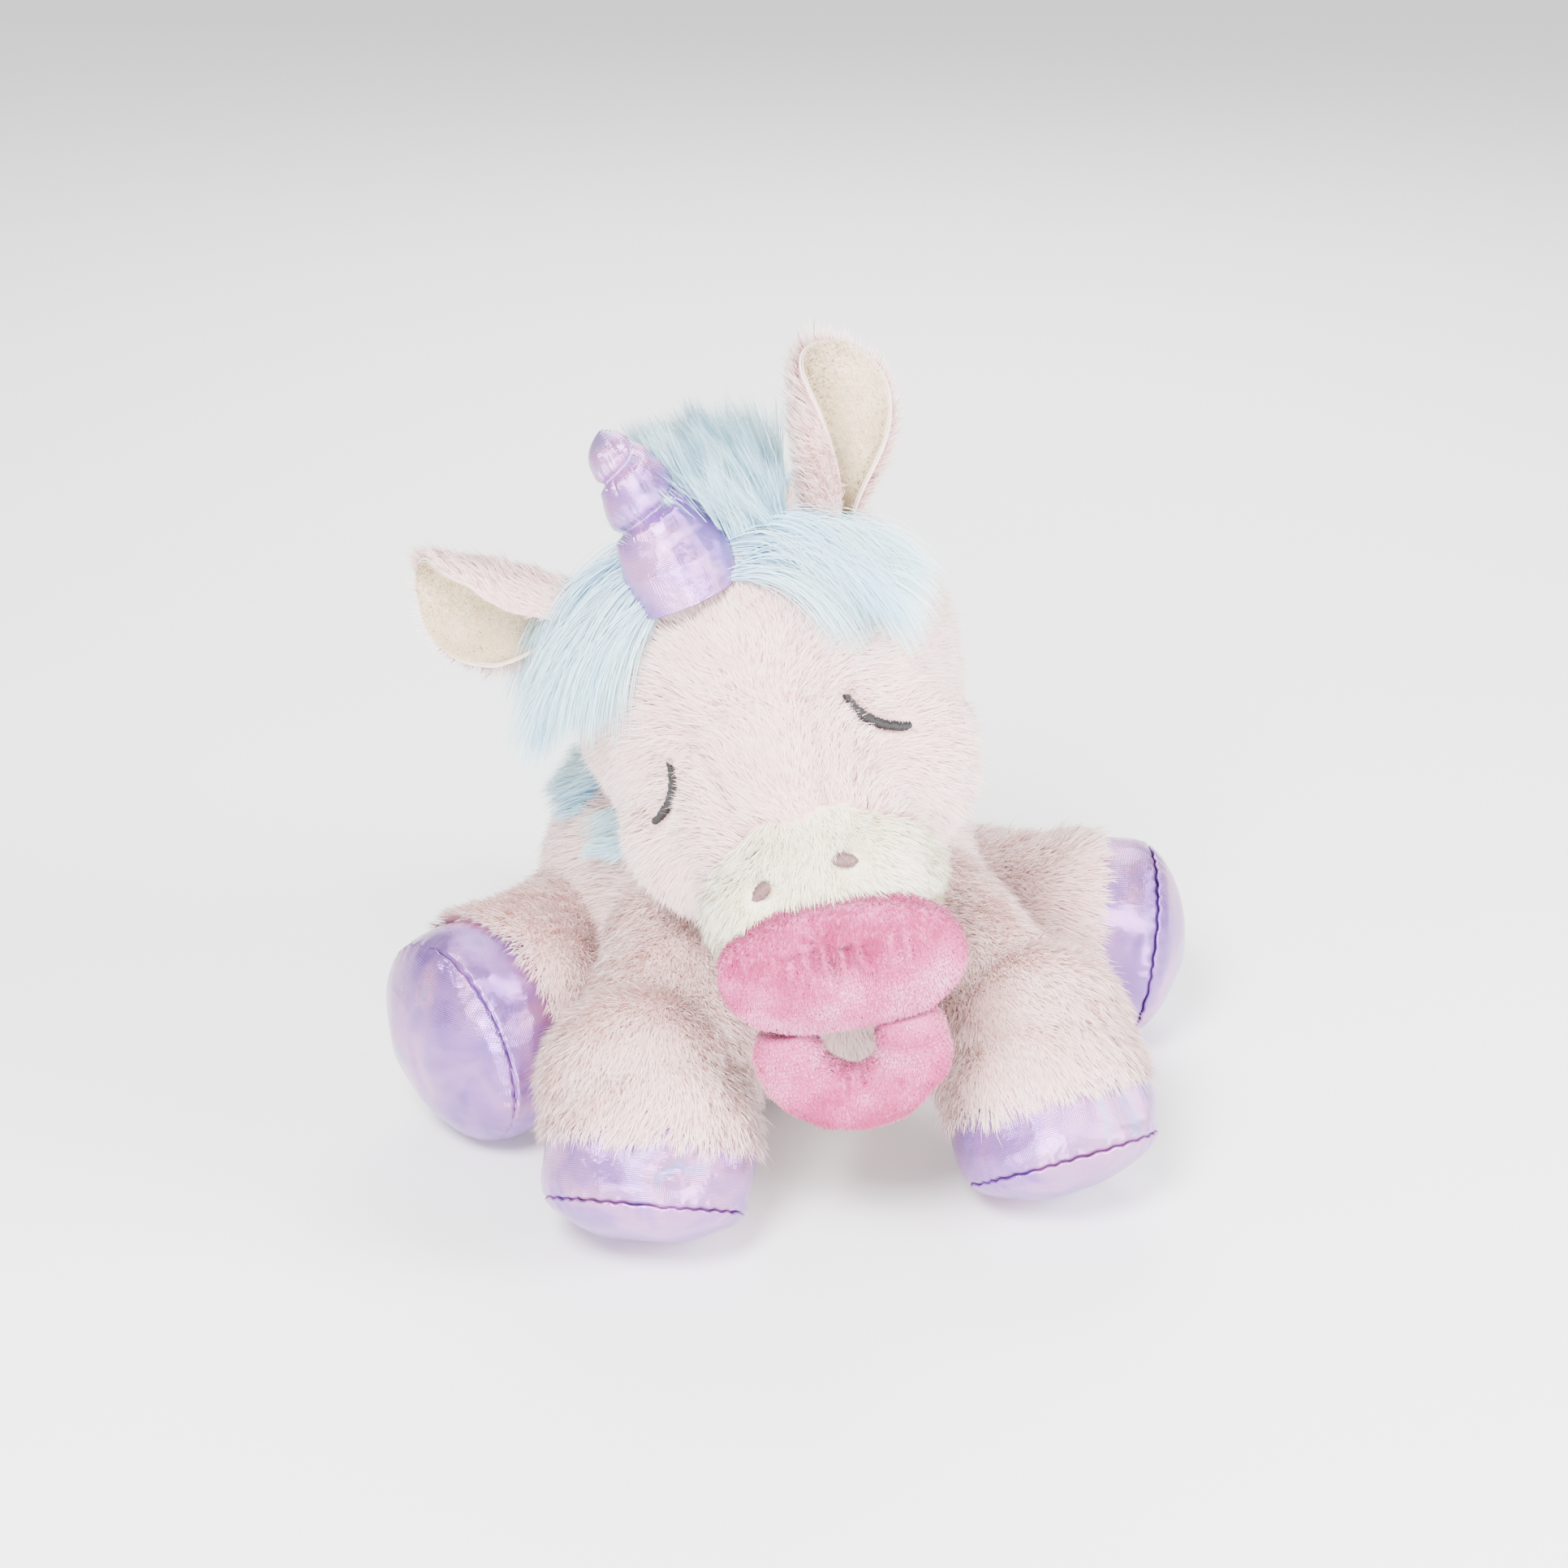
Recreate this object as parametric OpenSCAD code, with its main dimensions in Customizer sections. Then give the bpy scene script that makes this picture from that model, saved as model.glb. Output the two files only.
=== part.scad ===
// Plush unicorn that lies on its belly with its legs splayed and its head hanging forward.
// Millimetres. The toy faces -Y, +Z is up, and the origin is the centre of the flat belly.

/* [Torso] */
// Radius of the rump
rump_r = 72; // [68:0.5:74]
// Radius of the chest
chest_r = 64; // [60:0.5:66]
// Distance of the rump's centre behind the origin
rump_y = 8; // [4:1:12]
// Distance of the chest's centre in front of the origin
chest_y = 16; // [12:1:20]
// Height of the body's long axis above the floor
torso_axis_z = 57; // [54:1:60]
// Thickness of the fur fabric with its backing
cover_t = 2.5; // [1.5:0.1:4]
// Radius of the bag of pellets in the belly
pellet_bag_r = 30; // [20:1:34]

/* [Head] */
// Skull centre
head_c = [-15, -65, 169];
// Turn of the head about X, Y and Z
head_tilt = [-5, -23, -15];
// Skull radius
skull_r = 65.5; // [62:0.5:67]
// Muzzle centre, measured from the skull centre
muzzle_c = [0, -54, -50];
// Muzzle radius
muzzle_r = 39; // [35:0.5:41]
// How far in front of the muzzle's centre the cream panel starts
muzzle_seam = 4; // [2:1:10]

/* [Neck] */
// Centre of the neck seam
neck_c = [-10, -38, 109];
// Radius of the neck's wad of stuffing
neck_r = 26; // [22:0.5:28]

/* [Horn] */
// Horn pivot in the head's frame
horn_c = [-6, -35, 58];
// Horn base radius
horn_r = 17; // [14:0.5:18]
// Horn height above its pivot
horn_h = 43; // [38:1:50]
// Number of swirls
horn_swirls = 3; // [2:1:4]

/* [Ears] */
// Ear length
ear_l = 54; // [46:1:60]
// Ear half width
ear_w = 20; // [16:0.5:22]
// Radius to which the ear is cupped
ear_cup = 26; // [24:1:36]

/* [Legs] */
// Radius of a front leg where it joins the body
front_root_r = 27; // [22:0.5:29]
// Radius of a front leg above the hoof
front_ankle_r = 33; // [28:0.5:35]
// Radius of a hind leg where it joins the body
hind_root_r = 30; // [24:0.5:32]
// Radius of a hind leg above the hoof
hind_ankle_r = 37; // [32:0.5:38]
// Length of the shiny band of a hoof
band_l = 23; // [16:1:26]
// Bulge of a front sole
front_sole_bulge = 10; // [6:0.5:12]
// Bulge of a hind sole
hind_sole_bulge = 14; // [8:0.5:18]
// Thickness of the shiny hoof and horn fabric
foil_t = 1.2; // [0.8:0.1:2]

/* [Pacifier] */
// Centre of the pacifier's shield
shield_c = [-15, -160, 110.5];
// Turn of the pacifier about X, Y and Z
pacifier_tilt = [8, -13, -17];
// Width of the shield
shield_w = 78; // [66:1:84]
// Height of the shield
shield_h = 45; // [40:1:50]
// Thickness of the shield at its middle
shield_t = 20; // [14:1:24]
// Outer radius of the ring handle
ring_r = 32; // [28:0.5:34]
// Radius of the finger hole
ring_hole_r = 9.5; // [8:0.5:12]
// Thickness of the ring handle from front to back
ring_t = 14; // [10:0.5:16]
// Radius of the teat that plugs into the mouth
teat_r = 8; // [6:0.5:10]

/* [Tail] */
// Tail root
tail_c = [0, 79, 66];
// Tail length
tail_l = 50; // [40:1:54]
// Tail largest radius
tail_r = 10; // [8:0.5:11]

/* [Hidden] */
$fn = 64;
fit = 0.4;            // clearance round a sewn joint's ball
skin_gap = 0.3;       // clearance between a lining and what it lies on
big = 400;            // larger than the whole toy
fur_pink = [0.88, 0.83, 0.83];
fill_white = [0.95, 0.95, 0.93];
foil_lilac = [0.76, 0.66, 0.84];
mane_blue = [0.77, 0.87, 0.91];
cream = [0.93, 0.92, 0.87];
lining_cream = [0.86, 0.8, 0.71];
velour_pink = [0.86, 0.52, 0.68];
thread_dark = [0.15, 0.12, 0.14];
thread_brown = [0.5, 0.41, 0.41];
velour_t = 1.5;       // thickness of the pacifier's velour
horn_play = 2.5;      // room round the horn's root ball
pocket_t = 1.5;       // wall of the mouth pocket
pocket_end = 34;      // depth of the mouth pocket's end behind the shield's middle
ear_lift = 2;         // an ear's pivot above the skull
ear_start = 5;        // where an ear's cloth starts above its pivot
ring_gap = 0.6;       // between the shield and the ring's ends
ring_shift = -4;      // the ring hangs a little to the left of the shield's middle
ring_end = 0.6;       // how much fatter the ring's ends are than the ring
fur_l = 4;            // how far a leg's fur reaches past the ankle's centre
tail_root_r = 9;
tail_dir = [0, 0.72, -0.69];
// Three points on the skull that each closed eye's stitching runs through
EYE = [[33.7, -61.6, 2.1], [37.2, -62.1, -7.4], [46.4, -53.5, -16.9]];
// Each ear: name, the direction of its root from the skull's centre, its lean and its turn
EARS = [["left", [-44, -14, 53], [0, -62, 0], 8], ["right", [37, -18, 46], [0, 23, 0], 24]];

// Each leg: name, root ball, ankle centre, sole normal, root radius, ankle radius, hinge axis,
// the swing that the body cloth is cut out for, sole bulge
LEGS = [
    ["front_left", [-43, -60, 68], [-70, -126, 41.5], [-0.2, -0.47, -0.86], front_root_r, front_ankle_r,
        [1, 0, 0], [-25, 6], front_sole_bulge],
    ["front_right", [43, -60, 68], [63, -130, 42], [0.16, -0.5, -0.85], front_root_r, front_ankle_r,
        [1, 0, 0], [-25, 6], front_sole_bulge],
    ["hind_left", [-66, -2, 45], [-100, -38, 42], [-0.9, -0.42, -0.12], hind_root_r, hind_ankle_r,
        [0, 0, 1], [-12, 15], hind_sole_bulge],
    ["hind_right", [66, 0, 45], [107, -23, 41], [0.97, -0.2, -0.14], hind_root_r, hind_ankle_r - 2,
        [0, 0, 1], [-15, 12], hind_sole_bulge]
];

function unit(v) = v / norm(v);
// Direction angles that turn +Z to v
function aim(v) = [0, acos(v[2] / norm(v)), atan2(v[1], v[0])];

module from_to(a, b) { translate(a) rotate(aim(b - a)) children(); }
module head_place() { translate(head_c) rotate(head_tilt) children(); }
module about(c, axis, angle) { translate(c) rotate(a = angle, v = axis) translate(-c) children(); }
module above(z0) { translate([-big / 2, -big / 2, z0]) cube(big); }

/* Torso */
module torso_place() { translate([0, rump_y, torso_axis_z]) rotate([90, 0, 0]) children(); }
module torso_solid(grow) {
    torso_place() sphere(rump_r + grow);
    translate([0, -chest_y, torso_axis_z]) sphere(chest_r + grow);
}
module leg_outer(leg, grow) {
    root = leg[1];
    ankle = leg[2];
    translate(root) sphere(leg[4] + grow);
    from_to(root, ankle) cylinder(h = norm(ankle - root), r1 = leg[4] - 1 + grow, r2 = leg[5] - 1 + grow);
    translate(ankle) sphere(leg[5] + grow);
}
// Room in the body for each leg's whole swing: the root's ball and a flared cone round the limb
module leg_sweeps() {
    narrow = 3;           // the cone starts this much inside the root's ball
    flare = 0.08;         // how much faster it widens than the swing needs
    for (leg = LEGS) {
        root = leg[1];
        ankle = leg[2];
        far = norm(ankle - root);
        swing = max(abs(leg[7][0]), abs(leg[7][1]));
        translate(root) sphere(leg[4] + fit);
        from_to(root, ankle) cylinder(h = far, r1 = leg[4] - narrow, r2 = leg[5] + (sin(swing) + flare) * far);
    }
}
// Half space that the nodding head can reach
module head_reach() {
    slope = 22;
    floor_z = 122;        // its height above the origin
    translate([0, 0, floor_z]) rotate([slope, 0, 0]) above(0);
}
module torso_cuts() {
    leg_sweeps();
    head_reach();
    translate(neck_c) sphere(neck_r + fit);
    translate(tail_c) sphere(tail_root_r + fit);
}

module torso_cover() {
    color(fur_pink) difference() {
        intersection() { torso_solid(0); above(0); }
        intersection() { torso_solid(-cover_t); above(cover_t); }
        torso_cuts();
    }
}
module torso_stuffing() {
    color(fill_white) difference() {
        intersection() { torso_solid(-cover_t); above(cover_t); }
        torso_cuts();
        translate([0, 5, cover_t + pellet_bag_r + 3]) sphere(pellet_bag_r);
    }
}
module pellet_bag() {
    color(lining_cream) translate([0, 5, cover_t + pellet_bag_r + 3]) sphere(pellet_bag_r - skin_gap);
}
module neck_wad() { color(fill_white) translate(neck_c) sphere(neck_r); }

/* Head, drawn in its own frame: the origin is the skull centre, -Y is the face and +Z the crown */
module skull_and_snout(grow) {
    skull = skull_r + grow;
    muzzle = muzzle_r + grow;
    l = norm(muzzle_c);
    lean = asin((skull - muzzle) / l);
    rotate(aim(muzzle_c)) rotate_extrude() intersection() {
        union() {
            circle(skull);
            translate([0, l]) circle(muzzle);
            polygon([[0, skull * sin(lean)], [skull * cos(lean), skull * sin(lean)],
                [muzzle * cos(lean), l + muzzle * sin(lean)], [0, l + muzzle * sin(lean)]]);
        }
        translate([0, -big / 2]) square([big / 2, big]);
    }
}
module muzzle_side() { rotate(aim(muzzle_c)) above(norm(muzzle_c) + muzzle_seam); }
module head_skin() { difference() { skull_and_snout(0); skull_and_snout(-cover_t); } }
module horn_socket() { translate(horn_c) sphere(horn_r + horn_play); }
// Round well in the crown that the horn's root stands in
module horn_well() {
    well_floor = 0.7;     // its bottom, as a share of the way out to the horn's pivot
    from_to(well_floor * horn_c, 2 * horn_c) cylinder(h = skull_r, r = horn_r + horn_play);
}
module pacifier_place() { translate(shield_c) rotate(pacifier_tilt) children(); }
module back_along(y0, y1, r) { translate([0, y0, 0]) rotate([-90, 0, 0]) cylinder(h = y1 - y0, r = r); }
function sign_pow(v, e) = sign(v) * pow(abs(v), e);
module shield_outline(grow) {
    squareness = 0.8;     // 1 is an ellipse and 0 a rectangle
    steps = 40;
    polygon([for (i = [0:steps - 1]) let (a = 360 * i / steps)
        [(shield_w / 2 + grow) * sign_pow(cos(a), squareness), (shield_h / 2 + grow) * sign_pow(sin(a), squareness)]]);
}
// Room in the muzzle for the shield, open towards the front
module shield_room() {
    room = 1;
    pacifier_place() translate([0, shield_t / 2 + room, 0]) rotate([90, 0, 0])
        linear_extrude(height = big / 4) shield_outline(room);
}
module mouth_hole(r) { pacifier_place() back_along(-shield_t, pocket_end, r); }
module head_cuts() {
    translate(neck_c) sphere(neck_r + fit);
    shield_room();
    mouth_hole(teat_r + fit + pocket_t);
}
module head_cover() {
    color(fur_pink) difference() {
        head_place() difference() { head_skin(); muzzle_side(); horn_well(); }
        head_cuts();
    }
}
module muzzle_panel() {
    color(cream) difference() {
        head_place() intersection() { head_skin(); muzzle_side(); }
        head_cuts();
    }
}
module head_stuffing() {
    color(fill_white) difference() {
        head_place() difference() { skull_and_snout(-cover_t); horn_well(); }
        head_cuts();
    }
}
module mouth_pocket() {
    mouth_y = shield_t / 2 + 1.5;
    color(velour_pink) pacifier_place() difference() {
        back_along(mouth_y, pocket_end, teat_r + fit + pocket_t);
        back_along(mouth_y - 1, pocket_end - pocket_t, teat_r + fit);
    }
}
module nostril_stitching() {
    spread = 24;          // sideways angle from the middle of the muzzle
    tip_up = -17;         // turn from straight ahead, upward
    long = 7.5;
    high = 4.6;
    proud = 0.8;
    color(thread_brown) head_place() intersection() {
        translate(muzzle_c) difference() { sphere(muzzle_r + proud); sphere(muzzle_r); }
        for (s = [-1, 1]) translate(muzzle_c) rotate([tip_up, 0, s * spread])
            rotate([90, 0, 0]) linear_extrude(height = big / 4) {
                for (e = [-1, 1]) translate([e * (long - high) / 2, 0]) circle(high / 2);
                square([long - high, high], center = true);
            }
    }
}
module eye_stitching(side) {
    thread_r = 1.1;
    pts = [for (p = EYE) [side * p[0], p[1], p[2]]];
    ab = pts[1] - pts[0];
    ac = pts[2] - pts[0];
    n = cross(ab, ac);
    centre = pts[0] + (cross(n, ab) * (ac * ac) + cross(ac, n) * (ab * ab)) / (2 * (n * n));
    ux = unit(pts[0] - centre);
    uz = unit(n);
    uy = cross(uz, ux);
    sweep = acos(ux * unit(pts[2] - centre));
    color(thread_dark) head_place()
        multmatrix([for (i = [0:2]) [ux[i], uy[i], uz[i], centre[i]]])
            rotate_extrude(angle = sweep) translate([norm(pts[0] - centre), 0]) circle(thread_r);
}
module forelock() {
    half_w = 34;
    thick = 7;
    y_front = -62;
    y_back = -27;
    z_low = 16;
    horn_room = 3;
    color(mane_blue) head_place() difference() {
        intersection() {
            difference() { sphere(skull_r + thick); skull_and_snout(skin_gap); }
            translate([-half_w, y_front, z_low]) cube([2 * half_w, y_back - y_front, skull_r]);
        }
        horn_socket();
        translate(horn_c) cylinder(h = horn_h, r1 = horn_r + horn_room, r2 = horn_r + 4 * horn_room);
    }
}
module poll_mane() {
    left = -14;
    right = 26;
    thick = 15;
    sweep = 98;           // from the back of the skull over the crown, nearly to the horn
    color(mane_blue) head_place() rotate([0, 90, 0]) rotate([0, 0, 90])
        rotate_extrude(angle = sweep) intersection() {
            difference() { circle(skull_r + thick); circle(skull_r + skin_gap); }
            translate([0, left]) square([skull_r + thick, right - left]);
        }
}

/* Neck mane, which lies over the left of the back */
module neck_mane() {
    thick = 8;
    start = 75;
    sweep = 70;
    back_end = -32;
    front_end = 4;
    color(mane_blue) difference() {
        torso_place() rotate([0, 0, start]) rotate_extrude(angle = sweep) intersection() {
            difference() { circle(rump_r + thick); circle(rump_r + skin_gap); }
            translate([0, back_end]) square([big / 2, front_end - back_end]);
        }
        head_reach();
    }
}

/* Ears */
module ear_leaf() {
    steps = 14;
    base_w = 8;
    half = [for (i = [0:steps]) let (t = i / steps)
        [base_w * (1 - t) + (ear_w - base_w / 2) * pow(sin(180 * pow(t, 0.85)), 0.8), ear_start + t * ear_l]];
    rotate([90, 0, 0]) linear_extrude(height = 2 * ear_cup, center = true)
        polygon(concat(half, [for (i = [steps:-1:0]) [-half[i][0], half[i][1]]]));
}
module ear_layer(ear, r0, r1) {
    head_place() translate(unit(ear[1]) * (skull_r + ear_lift)) rotate(ear[2]) rotate([0, 0, ear[3]])
        intersection() {
            ear_leaf();
            translate([0, -ear_cup, 0]) difference() {
                cylinder(h = ear_start + ear_l, r = r1);
                translate([0, 0, -1]) cylinder(h = ear_start + ear_l + 2, r = r0);
            }
            translate([-ear_cup, -ear_cup, 0]) cube([2 * ear_cup, 2 * ear_cup, big]);
        }
}
module ear_outer(ear) { color(fur_pink) ear_layer(ear, ear_cup, ear_cup + 4); }
module ear_lining(ear) { color(lining_cream) ear_layer(ear, ear_cup - 2, ear_cup - skin_gap / 3); }

/* Horn */
function horn_profile(t) = horn_r * (1 - 0.62 * t) * (0.8 + 0.2 * abs(sin(180 * horn_swirls * t)));
module horn_place() { head_place() translate(horn_c) children(); }
module horn_solid(grow) {
    steps = 12 * horn_swirls;
    sphere(horn_r - 1 + grow);
    rotate_extrude() polygon(concat([[0, 0]],
        [for (i = [0:steps]) let (t = i / steps) [horn_profile(t) + grow, t * horn_h]],
        [[0, horn_h + 2 + grow]]));
}
module horn_cover() { color(foil_lilac) horn_place() difference() { horn_solid(0); horn_solid(-foil_t); } }
module horn_stuffing() { color(fill_white) horn_place() horn_solid(-foil_t); }
module horn_thread() {
    thread_r = 0.6;
    color(foil_lilac) horn_place() for (i = [1:horn_swirls - 1]) let (t = i / horn_swirls)
        translate([0, 0, t * horn_h]) rotate_extrude() translate([horn_profile(t) + thread_r + skin_gap, 0]) circle(thread_r);
}

/* Pacifier */
module lens_solid(grow) {
    edge = shield_w / 2;
    r = (edge * edge + shield_t * shield_t / 4) / shield_t;
    $fn = 192;
    intersection() {
        rotate([90, 0, 0]) linear_extrude(height = shield_t, center = true) shield_outline(grow);
        translate([0, r - shield_t / 2, 0]) sphere(r + grow);
        translate([0, shield_t / 2 - r, 0]) sphere(r + grow);
    }
}
module shield_cover() { color(velour_pink) pacifier_place() difference() { lens_solid(0); lens_solid(-velour_t); } }
module shield_stuffing() { color(fill_white) pacifier_place() lens_solid(-velour_t); }
module pacifier_teat() {
    tip_gap = 1;
    color(velour_pink) difference() {
        pacifier_place() back_along(0, pocket_end - pocket_t - tip_gap, teat_r);
        pacifier_place() lens_solid(0);
    }
}
module ring_solid(grow) {
    tube_w = ring_r - ring_hole_r;
    mid = (ring_r + ring_hole_r) / 2;
    steps = 24;
    section = [for (i = [0:steps - 1]) let (a = 360 * i / steps)
        [mid + (tube_w / 2 + grow) * cos(a), (ring_t / 2 + grow) * sin(a)]];
    pacifier_place() translate([ring_shift, 0, -shield_h / 2 - ring_t / 2 - ring_end - ring_gap]) {
        rotate([90, 0, 0]) rotate([0, 0, 180]) rotate_extrude(angle = 180) polygon(section);
        for (s = [-1, 1]) translate([s * mid, 0, 0]) rotate([0, 90, 0])
            cylinder(h = tube_w - ring_t / 2 + 2 * grow, r = ring_t / 2 + ring_end + grow, center = true);
    }
}
module ring_cover() { color(velour_pink) difference() { ring_solid(0); ring_solid(-velour_t); } }
module ring_stuffing() { color(fill_white) ring_solid(-velour_t); }

/* Legs */
module foot_place(leg) { translate(leg[2]) rotate(aim(leg[3])) children(); }
module hoof_solid(leg, grow) {
    r = leg[5] + 1 + grow;
    rim = fur_l + band_l;
    sole_bulge = leg[8];
    sole_r = (r * r + sole_bulge * sole_bulge) / (2 * sole_bulge);
    foot_place(leg) {
        translate([0, 0, fur_l]) cylinder(h = band_l, r = r);
        intersection() {
            translate([0, 0, rim + sole_bulge + grow - sole_r]) sphere(sole_r);
            translate([0, 0, fur_l]) cylinder(h = big / 4, r = r);
        }
    }
}
module past_fur(leg) { foot_place(leg) above(fur_l); }
module past_band(leg) { foot_place(leg) above(fur_l + band_l); }
module leg_cover(leg) {
    color(fur_pink) difference() { leg_outer(leg, 0); leg_outer(leg, -cover_t); past_fur(leg); }
}
module leg_stuffing(leg) {
    color(fill_white) {
        leg_outer(leg, -cover_t);
        hoof_solid(leg, -foil_t);
    }
}
module hoof_band(leg) {
    color(foil_lilac) difference() {
        hoof_solid(leg, 0);
        hoof_solid(leg, -foil_t);
        past_band(leg);
    }
}
module hoof_sole(leg) {
    color(foil_lilac) difference() {
        intersection() { hoof_solid(leg, 0); past_band(leg); }
        hoof_solid(leg, -foil_t);
    }
}

/* Tail */
module tail_root() { color(fur_pink) translate(tail_c) sphere(tail_root_r); }
module tail_hair() {
    steps = 12;
    thin = 3;
    late = 1.3;           // above 1, the thickest place is past the middle
    color(mane_blue) difference() {
        translate(tail_c) rotate(aim(tail_dir)) rotate_extrude() polygon(concat([[0, 0]],
            [for (i = [0:steps]) let (t = i / steps) [thin + (tail_r - thin) * pow(sin(180 * pow(t, late)), 0.8),
                t * tail_l]], [[0, tail_l]]));
        translate(tail_c) sphere(tail_root_r);
    }
}

torso_cover();
torso_stuffing();
pellet_bag();
neck_mane();
neck_wad();
head_cover();
head_stuffing();
muzzle_panel();
mouth_pocket();
nostril_stitching();
eye_stitching(-1);  // eye_stitching_left
eye_stitching(1);  // eye_stitching_right
forelock();
poll_mane();
horn_cover();
horn_stuffing();
horn_thread();
pacifier_teat();
shield_cover();
shield_stuffing();
ring_cover();
ring_stuffing();
tail_root();
tail_hair();
for (ear = EARS) {
    ear_outer(ear);
    ear_lining(ear);
}
for (leg = LEGS) {
    leg_cover(leg);
    leg_stuffing(leg);
    hoof_band(leg);
    hoof_sole(leg);
}
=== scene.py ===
import math
from collections import namedtuple

import bmesh
import bpy
import numpy as np
from mathutils import Matrix, Vector


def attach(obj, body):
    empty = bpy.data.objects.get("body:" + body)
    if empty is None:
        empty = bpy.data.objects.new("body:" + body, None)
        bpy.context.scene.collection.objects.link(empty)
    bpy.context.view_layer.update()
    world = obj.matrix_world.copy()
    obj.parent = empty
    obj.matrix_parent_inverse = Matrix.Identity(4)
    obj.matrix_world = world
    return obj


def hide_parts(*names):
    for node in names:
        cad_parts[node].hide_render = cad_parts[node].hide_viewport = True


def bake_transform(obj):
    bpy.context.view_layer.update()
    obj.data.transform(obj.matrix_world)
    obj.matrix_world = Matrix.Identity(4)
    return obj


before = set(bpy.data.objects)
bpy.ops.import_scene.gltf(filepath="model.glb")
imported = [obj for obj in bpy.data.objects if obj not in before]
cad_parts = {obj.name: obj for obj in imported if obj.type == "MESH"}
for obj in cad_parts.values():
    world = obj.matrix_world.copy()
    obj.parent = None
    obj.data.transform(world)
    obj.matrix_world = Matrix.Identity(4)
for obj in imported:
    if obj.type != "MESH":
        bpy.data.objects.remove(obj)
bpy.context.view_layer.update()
MM = 0.001
PI = math.pi
DOWN = np.array([0, 0, -1.0])


# ---------------------------------------------------------------- frames, in millimetres
def unit(v):
    v = np.asarray(v, float)
    return v / np.maximum(np.linalg.norm(v, axis=-1, keepdims=True), 1e-9)


def rot(x, y, z):
    """OpenSCAD's rotate([x, y, z])."""
    x, y, z = (math.radians(a) for a in (x, y, z))
    return np.array(Matrix.Rotation(z, 3, "Z") @ Matrix.Rotation(y, 3, "Y") @ Matrix.Rotation(x, 3, "X"))


def aim(v):
    """Columns: two sideways directions and the direction v, as OpenSCAD's rotate([0, acos, atan2])."""
    v = unit(v)
    return rot(0, math.degrees(math.acos(v[2])), math.degrees(math.atan2(v[1], v[0])))


def xyz(x, y, z):
    """Points from coordinates, which may be numbers or arrays that broadcast together."""
    return np.stack(np.broadcast_arrays(x, y, z), -1)


HEAD_C, HEAD_R = np.array([-15.0, -65, 169]), rot(-5, -23, -15)
SKULL_R, MUZZLE_C, MUZZLE_R = 65.5, np.array([0.0, -54, -50]), 39.0
SHIELD_C, SHIELD_R = np.array([-15.0, -160, 110.5]), rot(8, -13, -17)
SHIELD_W, SHIELD_H, SHIELD_T = 78.0, 45.0, 20.0
TORSO_C = np.array([0.0, 8, 57])
NECK_C = np.array([-10.0, -38, 109])
HORN_C = np.array([-6.0, -35, 58])
HORN_R, HORN_H, SWIRLS = 17.0, 43.0, 2.6
EYE = np.array([[33.7, -61.6, 2.1], [37.2, -62.1, -7.4], [46.4, -53.5, -16.9]])  # three points of its arc
TAIL_C, TAIL_DIR = np.array([0.0, 79, 66]), unit([0, 0.72, -0.69])
FUR_L, BAND_L = 4.0, 23.0  # from the ankle along the sole's direction: to the shiny band, and the band's length
Leg = namedtuple("Leg", "root ankle sole root_r ankle_r bulge")
LEGS = {
    name: Leg(np.array(root, float), np.array(ankle, float), unit(sole), *sizes)
    for name, root, ankle, sole, *sizes in (
        ("front_left", [-43, -60, 68], [-70, -126, 41.5], [-0.2, -0.47, -0.86], 27, 33, 10),
        ("front_right", [43, -60, 68], [63, -130, 42], [0.16, -0.5, -0.85], 27, 33, 10),
        ("hind_left", [-66, -2, 45], [-100, -38, 42], [-0.9, -0.42, -0.12], 30, 37, 14),
        ("hind_right", [66, 0, 45], [107, -23, 41], [0.97, -0.2, -0.14], 30, 35, 14),
    )
}
CUT = 4.5  # the backing lies this far inside the tips of the pile
CLOTH = 0.8
COATED_CLOTH = 0.9
PIECE_FACES = 190000  # triangles in one piece of pile
QUICK = 1.0


def head(p):
    return HEAD_C + np.asarray(p, float) @ HEAD_R.T


def to_head(p):
    return (np.asarray(p, float) - HEAD_C) @ HEAD_R


def shield(p):
    return SHIELD_C + np.asarray(p, float) @ SHIELD_R.T


def to_shield(p):
    return (np.asarray(p, float) - SHIELD_C) @ SHIELD_R


def distance(p, centre):
    return np.linalg.norm(p - centre, axis=1)


# ---------------------------------------------------------------- smooth steps and smooth noise
def smooth(a, b, x):
    t = np.clip((np.asarray(x, float) - a) / (b - a), 0, 1)
    return t * t * (3 - 2 * t)


def bell(x, width):
    return np.exp(-((x / width) ** 2))


def sgn_pow(v, e):
    return np.sign(v) * np.abs(v) ** e


CELLS = 32
LATTICES = [np.random.default_rng(s).uniform(-1, 1, (CELLS, CELLS, CELLS)) for s in range(4)]


def noise3(p, scale, which=0):
    """Smooth noise in -1..1 at points in mm, with features about scale mm across."""
    q = np.asarray(p, float) / scale + 100.0
    i = np.floor(q).astype(int)
    f = q - i
    f = f * f * (3 - 2 * f)
    g = LATTICES[which]
    out = 0.0
    for corner in np.ndindex(2, 2, 2):
        share = [f[..., k] if corner[k] else 1 - f[..., k] for k in range(3)]
        at = tuple((i[..., k] + corner[k]) % CELLS for k in range(3))
        out = out + share[0] * share[1] * share[2] * g[at]
    return out


def noise_vec(p, scale):
    return np.stack([noise3(p, scale, k) for k in range(3)], -1)


# ---------------------------------------------------------------- meshes
def add_object(name, data):
    o = bpy.data.objects.new(name, data)
    bpy.context.scene.collection.objects.link(o)
    return o


def duplicate(o, name):
    c = o.copy()
    c.data = o.data.copy()
    c.name = name
    bpy.context.scene.collection.objects.link(c)
    return c


def mesh_object(name, verts_mm, faces):
    me = bpy.data.meshes.new(name)
    me.from_pydata((np.asarray(verts_mm, float) * MM).tolist(), [], [tuple(map(int, f)) for f in faces])
    me.update()
    me.shade_smooth()
    return add_object(name, me)


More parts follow.
